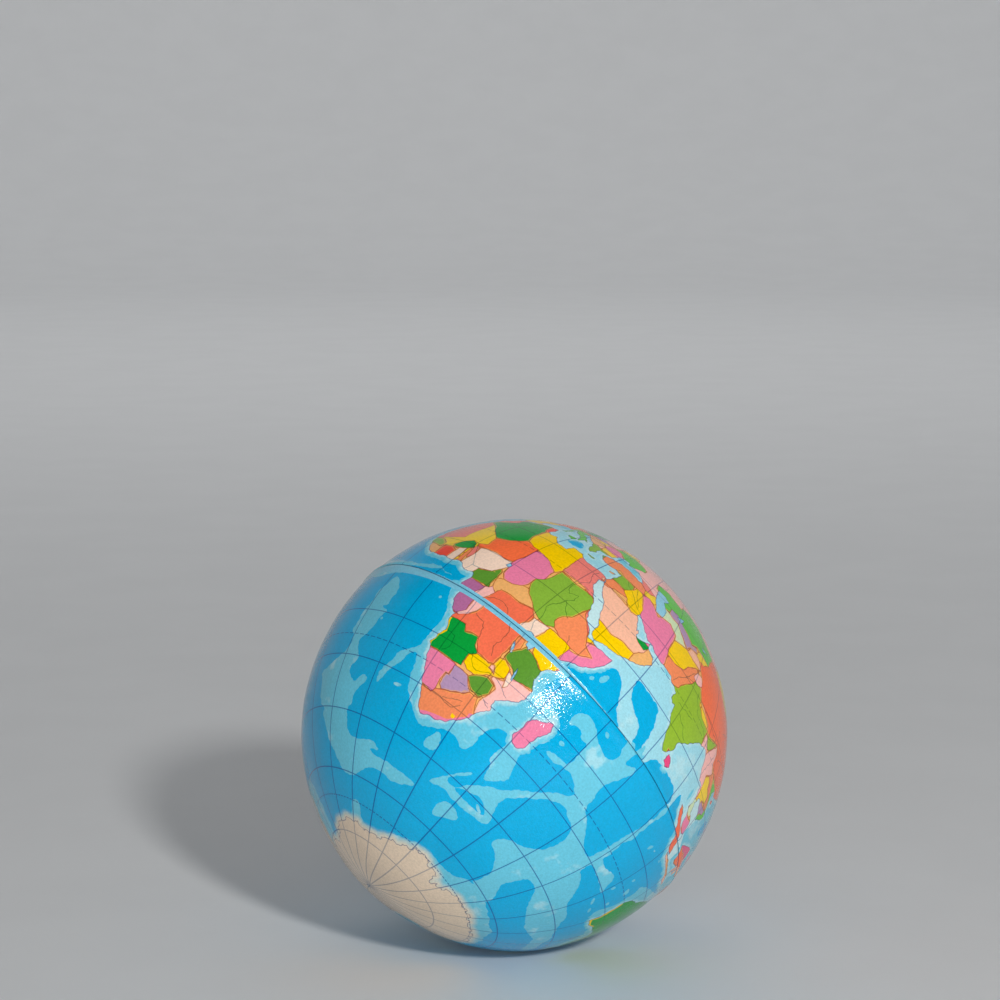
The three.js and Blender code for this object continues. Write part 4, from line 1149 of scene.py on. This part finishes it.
def film_object(name, print_):
    """One printed half-shell as one closed mesh: the printed face, its rim and the bare inside."""
    sheet = printed_sheet(print_)
    side, unit = print_.side, sheet.unit
    lift = lip_rise(distance_from_rim(side, unit)) + dented(unit)
    outer = unit * (RADIUS + lift)[:, None]

    rim_heading = np.arange(RIM_POINTS) * 2 * math.pi / RIM_POINTS
    rim_angle = rim_reach(side, rim_heading)
    rim_unit = from_pole(side, rim_angle, rim_heading)
    tree = search_tree(unit)
    last_row = np.array([tree.find(point)[1] for point in rim_unit])

    rim_outside = np.linalg.norm(outer[last_row], axis=1)
    new_rows = []
    for share in WALL_SHARES:
        radius = rim_outside + (FILM_INSIDE - rim_outside) * share
        new_rows.append(rim_unit * radius[:, None])
    for number in range(1, INNER_ROWS):
        angle = rim_angle * (1 - number / INNER_ROWS)
        new_rows.append(from_pole(side, angle, rim_heading) * FILM_INSIDE)

    points, faces = [outer], [sheet.faces]
    count = len(outer)
    ring = np.arange(RIM_POINTS)
    around = (ring + 1) % RIM_POINTS
    above = last_row
    for row in new_rows:
        below = count + ring
        faces.append(np.stack([above, below[around], above[around]], 1))
        faces.append(np.stack([above, below, below[around]], 1))
        points.append(row)
        count += RIM_POINTS
        above = below
    points.append(np.array([[0.0, 0.0, side * FILM_INSIDE]]))
    faces.append(np.stack([above, np.full(RIM_POINTS, count), above[around]], 1))
    points, faces = np.vstack(points), np.vstack(faces)
    if side < 0:
        faces = faces[:, ::-1]

    piece = mesh_object(name, laid(points), faces.tolist())
    write_print(piece.data, print_, sheet, points, faces)
    write_bake_layout(piece.data, print_.side, len(sheet.faces), points, faces)
    piece.data.update()
    return piece


def mesh_object(name, points, faces):
    """A smooth-shaded mesh, in metres, as a new object in the scene."""
    mesh = bpy.data.meshes.new(name)
    mesh.from_pydata(points.tolist(), [], faces)
    mesh.polygons.foreach_set("use_smooth", np.ones(len(faces), bool))
    piece = bpy.data.objects.new(name, mesh)
    bpy.context.scene.collection.objects.link(piece)
    return piece


def write_print(mesh, print_, sheet, points, faces):
    """The map on the mesh: ink colours, distances to drawn lines, and places for the shader."""
    printed, extra = len(sheet.faces) * 3, len(points) - len(sheet.unit)
    colour = np.tile(ink_colours[FILM_BARE], (faces.size, 1))
    colour[:printed] = ink_colours[np.repeat(sheet.ink, 3)]
    # painted shade: the walls down the rims get a dark blue so that the seam's groove reads dark
    colour[printed : printed + WALL_FACES * 3] = ink_colours[ink_index["painted_seam_shade"]]
    sea = np.zeros(faces.size)
    sea[:printed] = np.repeat((sheet.region == WATER) & (sheet.ink != ink_index["lake"]), 3)
    rgba = np.column_stack([colour, sea]).astype(np.float32)
    print_layer = mesh.color_attributes.new("Print", "FLOAT_COLOR", "CORNER")
    print_layer.data.foreach_set("color", rgba.ravel())

    far = np.full(extra, FAR)
    drawn = (sheet.border, sheet.coast, sheet.river)
    vector_attribute(mesh, "Lines", np.stack([np.concatenate([d, far]) for d in drawn], 1))
    vector_attribute(mesh, "Rest", points / 1000)
    east, north = print_.on_map(points / np.linalg.norm(points, axis=1)[:, None])
    vector_attribute(mesh, "Map", directions(east, north))
    outside = np.concatenate([np.ones(len(sheet.unit)), np.zeros(extra)])
    from_ice = np.concatenate([sheet.ice, far])
    vector_attribute(mesh, "Skin", np.stack([outside, from_ice, north * print_.side], 1))


def write_bake_layout(mesh, side, printed_faces, points, faces):
    """The flat layout for baking: the printed face as a disc, the rim's wall round it, and the
    inside as a small disc in a corner."""
    corners = faces.ravel()
    radius = np.linalg.norm(points, axis=1)
    unit = points / radius[:, None]
    reach = np.arccos(np.clip(side * unit[:, 2], -1, 1)) / (math.pi / 2)
    heading = np.arctan2(unit[:, 1], unit[:, 0])
    spread = (np.stack([np.cos(heading), side * np.sin(heading)], 1) * reach[:, None])[corners]
    layout = 0.5 + spread * DISC_SIZE
    wall = slice(printed_faces * 3, (printed_faces + WALL_FACES) * 3)
    depth = np.clip((RADIUS - radius[corners]) / FILM_THICKNESS, 0, 1)
    layout[wall] = 0.5 + (spread * (DISC_SIZE + WALL_SIZE * depth)[:, None])[wall]
    inside_face = slice(wall.stop, None)
    layout[inside_face] = INSIDE_PLACE + spread[inside_face] * INSIDE_SIZE
    mesh.uv_layers.new(name="OFBake").data.foreach_set("uv", layout.astype(np.float32).ravel())


def vector_attribute(mesh, name, values):
    """One vector for each point of the mesh, for the material to read."""
    attribute = mesh.attributes.new(name, "FLOAT_VECTOR", "POINT")
    attribute.data.foreach_set("vector", np.asarray(values, np.float32).ravel())


# ---------------------------------------------------------------------------------------------
# Materials
# ---------------------------------------------------------------------------------------------
# Drawn lines: where the ink starts to fade and where it ends, in millimetres from the middle of
# the line, how strong it is, and its colour
RIVER_LINE = (0.03, 0.10, 0.6, "#3E86A8")
COAST_LINE = (0.03, 0.11, 0.7, "#6273A6")
BORDER_LINE = (0.03, 0.11, 0.75, "#A24A55")
LINE_WOBBLE = 0.02

# The net of meridians and parallels, in degrees, with its lines as above and two strengths: on
# land and at sea
NET_SPACING = 15
TROPIC = 23.45
POLAR_CIRCLE = 66.55
DASH_LENGTH = 2.5
DASH_ENDS = (0.68, 0.72)
NET_LINE = (0.06, 0.13, 0.9)
CIRCLE_LINE = (0.06, 0.12, 0.9)
NET_COLOUR = "#2060A8"
NET_STRENGTHS = (0.5, 0.85)
NET_STARTS = 0.004

# Washes of colour: where each starts and ends, in millimetres from its line, and how strong it is
SHALLOWS = (0.85, 1.0, 1.0)
SHORE_WANDER = 0.35
SURF = (0.0, 0.75, 0.7)
ICE_GLOW = (0.0, 1.7, 0.95)
ICE_GLOW_COLOUR = "#DDD2BE"
BORDER_TINT = (0.14, 0.2, 0.5)
BORDER_TINT_COLOUR = "#F2AE58"

# The red of the inks at sea runs from the deep water's to that of the banks between these
DEEP_RED, BANK_RED = 0.03, 0.1
CLOUD_SHARE = 0.5

# The film's skin: bumps in metres, and the range of its roughness
GRAIN_HEIGHT = 0.000035
PEEL_HEIGHT = 0.00003
SLOW_HEIGHT = 0.0001
GLOSS = (0.08, 0.12)
FILM_SPECULAR = 0.34


class Nodes:
    """Short ways to add and join the nodes of one material.

    A span maps a value from one range to another and stays inside it, and a fade goes from full
    strength at a start to nothing at an end. The 0.3 to 0.7 that many spans start from is where a
    noise texture's values lie."""

    def __init__(self, name):
        self.material = bpy.data.materials.new(name)
        self.material.use_nodes = True
        self.tree = self.material.node_tree
        self.shader = self.tree.nodes["Principled BSDF"]

    def parts(self, vector, kind="ShaderNodeSeparateXYZ"):
        node = self.add(kind)
        self.join(vector, node.inputs[0])
        return node.outputs

    def add(self, kind, **settings):
        node = self.tree.nodes.new(kind)
        for key, value in settings.items():
            setattr(node, key, value)
        return node

    def join(self, source, target):
        self.tree.links.new(source, target)

    def vector(self, name):
        return self.add("ShaderNodeAttribute", attribute_name=name).outputs["Vector"]

    def math(self, operation, a, b=None):
        node = self.add("ShaderNodeMath", operation=operation)
        for socket, value in zip(node.inputs, (a, b)):
            self.feed(socket, value)
        return node.outputs[0]

    def feed(self, socket, value):
        if value is None:
            return
        if isinstance(value, bpy.types.NodeSocket):
            self.join(value, socket)
        else:
            socket.default_value = value

    def span(self, value, low, high, to_low, to_high, smooth=True):
        node = self.add("ShaderNodeMapRange")
        node.interpolation_type = "SMOOTHSTEP" if smooth else "LINEAR"
        for socket, number in zip(node.inputs, (value, low, high, to_low, to_high)):
            self.feed(socket, number)
        return node.outputs[0]

    def fade(self, distance, start, end, strength):
        return self.span(distance, start, end, strength, 0.0)

    def mix(self, share, a, b, blend="MIX"):
        node = self.add("ShaderNodeMix", data_type="RGBA", blend_type=blend)
        self.feed(node.inputs["Factor"], share)
        self.feed(node.inputs[6], a)
        self.feed(node.inputs[7], b)
        return node.outputs[2]

    def noise(self, place, scale, detail=2.0, roughness=0.5):
        node = self.add("ShaderNodeTexNoise")
        self.join(place, node.inputs["Vector"])
        node.inputs["Scale"].default_value = scale
        node.inputs["Detail"].default_value = detail
        node.inputs["Roughness"].default_value = roughness
        return node.outputs[0]

    def bump(self, height, distance, strength, normal=None):
        node = self.add("ShaderNodeBump")
        node.inputs["Distance"].default_value = distance
        node.inputs["Strength"].default_value = strength
        self.join(height, node.inputs["Height"])
        if normal is not None:
            self.join(normal, node.inputs["Normal"])
        return node.outputs[0]


def shade(hex_colour):
    """A colour written as #RRGGBB, for a colour socket."""
    return (*linear(hex_colour), 1.0)


def graticule(nodes):
    """How much of the fine net of meridians and parallels covers a point, from 0 to 1."""
    normal = nodes.add("ShaderNodeVectorMath", operation="NORMALIZE")
    nodes.join(nodes.vector("Map"), normal.inputs[0])
    x, y, z = nodes.parts(normal.outputs[0])
    east = nodes.math("ARCTAN2", y, x)
    north = nodes.math("ARCSINE", z)
    level = nodes.math("COSINE", north)

    def off_line(angle, spacing):
        turns = nodes.math("ADD", nodes.math("DIVIDE", angle, spacing), 100.5)
        part = nodes.math("SUBTRACT", nodes.math("FRACT", turns), 0.5)
        return nodes.math("MULTIPLY", nodes.math("ABSOLUTE", part), spacing * RADIUS)

    spacing = math.radians(NET_SPACING)
    meridian = nodes.math("MULTIPLY", off_line(east, spacing), level)
    parallel = off_line(north, spacing)
    lines = nodes.fade(nodes.math("MINIMUM", meridian, parallel), *NET_LINE)

    steep = nodes.math("ABSOLUTE", north)
    tropic, polar = (
        nodes.math("ABSOLUTE", nodes.math("SUBTRACT", steep, math.radians(latitude)))
        for latitude in (TROPIC, POLAR_CIRCLE)
    )
    circles = nodes.math("MULTIPLY", nodes.math("MINIMUM", tropic, polar), RADIUS)
    dashes = nodes.math("FRACT", nodes.math("MULTIPLY", east, 180 / math.pi / DASH_LENGTH))
    dashed = nodes.fade(dashes, *DASH_ENDS, 1.0)
    thin = nodes.math("MULTIPLY", nodes.fade(circles, *CIRCLE_LINE), dashed)
    return nodes.math("MAXIMUM", lines, thin)


def washed(nodes, rest, colour, sea, border, coast, from_ice):
    """The ink's colour with the soft washes by the coasts, on the banks, by the ice and along the
    borders."""
    ragged = nodes.noise(rest, 700.0, 3.0, 0.6)
    ragged = nodes.span(ragged, 0.3, 0.7, -SHORE_WANDER, SHORE_WANDER, smooth=False)
    shore = nodes.math("ADD", coast, ragged)
    red = nodes.parts(colour, "ShaderNodeSeparateColor")[0]
    banks, open_sea = (
        nodes.math("MULTIPLY", nodes.span(red, DEEP_RED, BANK_RED, *ends), sea)
        for ends in ((0.0, CLOUD_SHARE), (1.0, 0.0))
    )
    shallow = nodes.math("MULTIPLY", nodes.fade(shore, *SHALLOWS), open_sea)
    colour = nodes.mix(shallow, colour, shade(INKS["shelf"]))
    cloud = nodes.span(nodes.noise(rest, 170.0, 3.0, 0.6), 0.56, 0.68, 0.0, 1.0)
    colour = nodes.mix(nodes.math("MULTIPLY", banks, cloud), colour, shade(INKS["pale"]))
    surf = nodes.math("MULTIPLY", nodes.fade(shore, *SURF), sea)
    colour = nodes.mix(surf, colour, shade(INKS["pale"]))
    glow = nodes.math("MULTIPLY", nodes.fade(from_ice, *ICE_GLOW), sea)
    colour = nodes.mix(glow, colour, shade(ICE_GLOW_COLOUR))

    uneven = nodes.span(nodes.noise(rest, 190.0, 1.0), 0.42, 0.6, -0.06, 0.2)
    tinted = nodes.fade(nodes.math("ADD", border, uneven), *BORDER_TINT)
    tinted = nodes.math("MULTIPLY", tinted, nodes.math("SUBTRACT", 1.0, sea))
    return nodes.mix(tinted, colour, shade(BORDER_TINT_COLOUR))


def printed_film_material():
    """Glossy printed film with the fine orange-peel grain of skinned foam under it."""
    nodes = Nodes("printed_film")
    rest = nodes.vector("Rest")
    inks = nodes.add("ShaderNodeAttribute", attribute_name="Print")
    sea = inks.outputs["Alpha"]
    border, coast, river = nodes.parts(nodes.vector("Lines"))
    outside, from_ice, on_map = nodes.parts(nodes.vector("Skin"))
    colour = washed(nodes, rest, inks.outputs["Color"], sea, border, coast, from_ice)

    wobble = nodes.span(nodes.noise(rest, 900.0), 0.3, 0.7, -LINE_WOBBLE, LINE_WOBBLE)
    drawn = ((river, RIVER_LINE), (coast, COAST_LINE), (border, BORDER_LINE))
    for distance, (start, end, strength, ink) in drawn:
        share = nodes.fade(nodes.math("ADD", distance, wobble), start, end, strength)
        colour = nodes.mix(share, colour, shade(ink), "MULTIPLY")
    # the net is printed on the map only, not on the bled edge or inside the film
    on_print = nodes.math("MULTIPLY", outside, nodes.math("GREATER_THAN", on_map, NET_STARTS))
    net = nodes.math("MULTIPLY", graticule(nodes), on_print)
    net = nodes.math("MULTIPLY", net, nodes.span(sea, 0.0, 1.0, *NET_STRENGTHS))
    colour = nodes.mix(net, colour, shade(NET_COLOUR), "MULTIPLY")

    patches = nodes.span(nodes.noise(rest, 60.0, 3.0), 0.3, 0.7, 0.96, 1.03)
    speckle = nodes.span(nodes.noise(rest, 2600.0, 1.0), 0.25, 0.75, 0.93, 1.06)
    tone = nodes.math("MULTIPLY", patches, speckle)
    grey = nodes.add("ShaderNodeCombineColor")
    for socket in grey.inputs:
        nodes.join(tone, socket)
    colour = nodes.mix(1.0, colour, grey.outputs[0], "MULTIPLY")
    nodes.join(colour, nodes.shader.inputs["Base Color"])

    rough = nodes.span(nodes.noise(rest, 500.0, 2.0), 0.3, 0.7, *GLOSS)
    nodes.join(rough, nodes.shader.inputs["Roughness"])
    grain = nodes.noise(rest, 4200.0, 0.0, 0.5)
    peel = nodes.noise(rest, 900.0, 2.0, 0.45)
    slow = nodes.noise(rest, 220.0, 1.0, 0.4)
    normal = nodes.bump(grain, GRAIN_HEIGHT, 1.0)
    normal = nodes.bump(peel, PEEL_HEIGHT, 0.35, normal)
    normal = nodes.bump(slow, SLOW_HEIGHT, 0.2, normal)
    nodes.join(normal, nodes.shader.inputs["Normal"])
    nodes.shader.inputs["Specular IOR Level"].default_value = FILM_SPECULAR
    return nodes.material


def foam_material():
    """Cream open-cell foam, dull and finely pitted, with painted shade darkening its pits."""
    nodes = Nodes("open_cell_foam")
    place = nodes.add("ShaderNodeTexCoord").outputs["Object"]
    cells = nodes.add("ShaderNodeTexVoronoi")
    nodes.join(place, cells.inputs["Vector"])
    cells.inputs["Scale"].default_value = 1400.0
    blotches = nodes.noise(place, 180.0, 3.0)
    light = nodes.span(blotches, 0.3, 0.7, 0.0, 1.0)
    colour = nodes.mix(light, shade("#D9D0B6"), shade("#EEE8D4"))
    # painted shade: the colour darkens towards the bottom of each cell's pit, where the bump sinks
    painted_pit_shade = nodes.span(cells.outputs["Distance"], 0.0, 0.5, 0.55, 0.0)
    colour = nodes.mix(painted_pit_shade, colour, shade("#A89C7C"))
    nodes.join(colour, nodes.shader.inputs["Base Color"])
    nodes.join(nodes.span(blotches, 0.3, 0.7, 0.86, 0.97), nodes.shader.inputs["Roughness"])
    normal = nodes.bump(cells.outputs["Distance"], 0.0004, 0.7)
    nodes.join(nodes.bump(blotches, 0.0006, 0.3, normal), nodes.shader.inputs["Normal"])
    return nodes.material


def floor_material():
    """A plain pale studio table."""
    nodes = Nodes("pale_table")
    place = nodes.add("ShaderNodeTexCoord").outputs["Object"]
    tone = nodes.span(nodes.noise(place, 30.0, 3.0), 0.3, 0.7, 0.0, 1.0)
    colour = nodes.mix(tone, shade("#DCDDDE"), shade("#DEDFE0"))
    nodes.join(colour, nodes.shader.inputs["Base Color"])
    nodes.shader.inputs["Roughness"].default_value = 0.7
    nodes.join(nodes.bump(nodes.noise(place, 900.0), 0.0002, 0.1), nodes.shader.inputs["Normal"])
    return nodes.material


# ---------------------------------------------------------------------------------------------
# The foam core
# ---------------------------------------------------------------------------------------------
CORE_ROWS = 150
CORE_COLUMNS = 300
CORE_RIDGE = 0.12
CORE_RIDGE_WIDTH = 0.7
CORE_ROUGHNESS = 0.02
CORE_ROUGHEST = 0.05
CORE_DRAWN_IN = 0.06


def core_object():
    """The moulded foam ball in the films, with a low ridge where it filled towards the seam."""
    rows = np.arange(1, CORE_ROWS) * math.pi / CORE_ROWS
    columns = np.arange(CORE_COLUMNS) * 2 * math.pi / CORE_COLUMNS
    reach, heading = (grid.ravel() for grid in np.meshgrid(rows, columns, indexing="ij"))
    unit = np.vstack([[0, 0, 1], from_pole(1, reach, heading), [0, 0, -1]])
    seam = seam_height(np.arctan2(unit[:, 1], unit[:, 0]))
    off_seam = np.arcsin(np.clip(unit[:, 2], -1, 1)) * RADIUS - seam
    ridge = CORE_RIDGE * np.exp(-((off_seam / CORE_RIDGE_WIDTH) ** 2))
    rough = np.random.default_rng(7).normal(0, CORE_ROUGHNESS, len(unit))
    rough = np.clip(rough, -CORE_ROUGHEST, CORE_ROUGHEST)
    points = unit * (CORE_RADIUS - CORE_DRAWN_IN + ridge + rough)[:, None]
    ring = np.arange(CORE_COLUMNS)
    around = (ring + 1) % CORE_COLUMNS
    first = 1 + np.arange(CORE_ROWS - 2)[:, None] * CORE_COLUMNS
    a, b = first + ring, first + around
    quads = np.stack([a, a + CORE_COLUMNS, b + CORE_COLUMNS, b], 2).reshape(-1, 4)
    top = np.stack([np.zeros(CORE_COLUMNS, int), 1 + ring, 1 + around], 1)
    end = len(points) - 1
    low = end - CORE_COLUMNS
    bottom = np.stack([np.full(CORE_COLUMNS, end), low + around, low + ring], 1)
    faces = quads.tolist() + top.tolist() + bottom.tolist()
    return mesh_object("foam_ball", laid(points), faces)


# ---------------------------------------------------------------------------------------------
# Stage, light and camera
# ---------------------------------------------------------------------------------------------
CAMERA_PLACE = (-0.00265, -0.5258, 0.1506)
CAMERA_DOWN = 7.6
CAMERA_LENS = 108.0
SENSOR_WIDTH = 36.0
FLOOR_LEVEL = -0.00004
FLOOR_RINGS = (0.3, 1.0)
FLOOR_RADIUS = 1.9
FLOOR_BEND = 1.0
FLOOR_BEND_ROWS = 13
FLOOR_SEGMENTS = 96
WALL_HEIGHT = 2.6

# Lights: the way to each from the ball, its distance and size in metres, and its power in watts
KEY_LIGHT = ((0.315, -0.84, 0.42), 1.1, 0.105, 7.3)
FRONT_LIGHT = ((-0.07, -0.985, 0.05), 1.4, 0.9, 9.8)
BACK_LIGHT = ((0.0, 0.55, 0.83), 1.9, 1.6, 14.0)
BACK_LIGHT_FACES_FROM = (0, -0.75, 0.66)
KEY_COLOUR = (1.0, 0.99, 0.97)
WHITE = (1.0, 1.0, 1.0)
SKY_COLOUR = (0.94, 0.97, 1.0, 1)
SKY_STRENGTH = 0.2


def stage():
    """A wide pale table, just under the ball, that sweeps up all round into a pale wall."""
    bend = np.linspace(0, math.pi / 2, FLOOR_BEND_ROWS)
    wall_radius = FLOOR_RADIUS + FLOOR_BEND
    radii = np.concatenate([FLOOR_RINGS, FLOOR_RADIUS + FLOOR_BEND * np.sin(bend), [wall_radius]])
    heights = np.concatenate([[0, 0], FLOOR_BEND * (1 - np.cos(bend)), [WALL_HEIGHT]])
    heights += FLOOR_LEVEL
    heading = np.arange(FLOOR_SEGMENTS) * 2 * math.pi / FLOOR_SEGMENTS
    points = [(0.0, 0.0, FLOOR_LEVEL)]
    for radius, height in zip(radii, heights):
        points.extend((radius * math.cos(a), radius * math.sin(a), height) for a in heading)
    faces = [(0, 1 + i, 1 + (i + 1) % FLOOR_SEGMENTS) for i in range(FLOOR_SEGMENTS)]
    for row in range(len(radii) - 1):
        first = 1 + row * FLOOR_SEGMENTS
        for i in range(FLOOR_SEGMENTS):
            a, b = first + i, first + (i + 1) % FLOOR_SEGMENTS
            faces.append((a, a + FLOOR_SEGMENTS, b + FLOOR_SEGMENTS, b))
    table = mesh_object("table", np.array(points), faces)
    table.data.materials.append(floor_material())


def area_light(name, towards, distance, size, power, colour, glossy=True):
    """A round soft light at a distance from the ball, in the direction `towards`."""
    data = bpy.data.lights.new(name, "AREA")
    data.shape = "DISK"
    data.size = size
    data.energy = power
    data.color = colour
    light = bpy.data.objects.new(name, data)
    aim = Vector((0, 0, BALL_HEIGHT / 2))
    direction = Vector(towards).normalized()
    light.location = aim + direction * distance
    light.visible_glossy = glossy
    light.rotation_mode = "QUATERNION"
    light.rotation_quaternion = direction.to_track_quat("Z", "Y")
    bpy.context.scene.collection.objects.link(light)
    return light


def lights():
    """A small main light from the upper right, the only one that the gloss mirrors, broad ones
    from the camera's side and from behind above the wall, and a dim sky."""
    area_light("key", *KEY_LIGHT, KEY_COLOUR)
    area_light("front", *FRONT_LIGHT, WHITE, glossy=False)
    back = area_light("back", *BACK_LIGHT, WHITE, glossy=False)
    back.rotation_quaternion = Vector(BACK_LIGHT_FACES_FROM).to_track_quat("Z", "Y")
    world = bpy.data.worlds.new("studio")
    world.use_nodes = True
    sky = world.node_tree.nodes["Background"]
    sky.inputs["Color"].default_value = SKY_COLOUR
    sky.inputs["Strength"].default_value = SKY_STRENGTH
    world.cycles_visibility.glossy = False
    bpy.context.scene.world = world


def camera():
    """The photograph's view, level and straight ahead but for a slight downward tilt."""
    data = bpy.data.cameras.new("camera")
    data.lens = CAMERA_LENS
    data.sensor_width = SENSOR_WIDTH
    data.clip_start = 0.01
    data.clip_end = 60
    eye = bpy.data.objects.new("camera", data)
    eye.location = CAMERA_PLACE
    eye.rotation_euler = (math.radians(90 - CAMERA_DOWN), 0, 0)
    bpy.context.scene.collection.objects.link(eye)
    bpy.context.scene.camera = eye


def squeezed(piece, body):
    """The piece rides its body, with a mesh of its own."""
    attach(piece, body)
    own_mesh(piece)


camera()
stage()
lights()
bpy.context.scene.view_settings.view_transform = "Standard"

film_material = printed_film_material()
south = film_object("south_film", SOUTH)
north = film_object("north_film", NORTH)
core = core_object()
for film in (south, north):
    film.data.materials.append(film_material)
core.data.materials.append(foam_material())

squeezed(core, "lower")
squeezed(south, "lower")
squeezed(north, "upper")
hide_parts("foam_core")
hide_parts("south_skin")
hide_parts("north_skin")
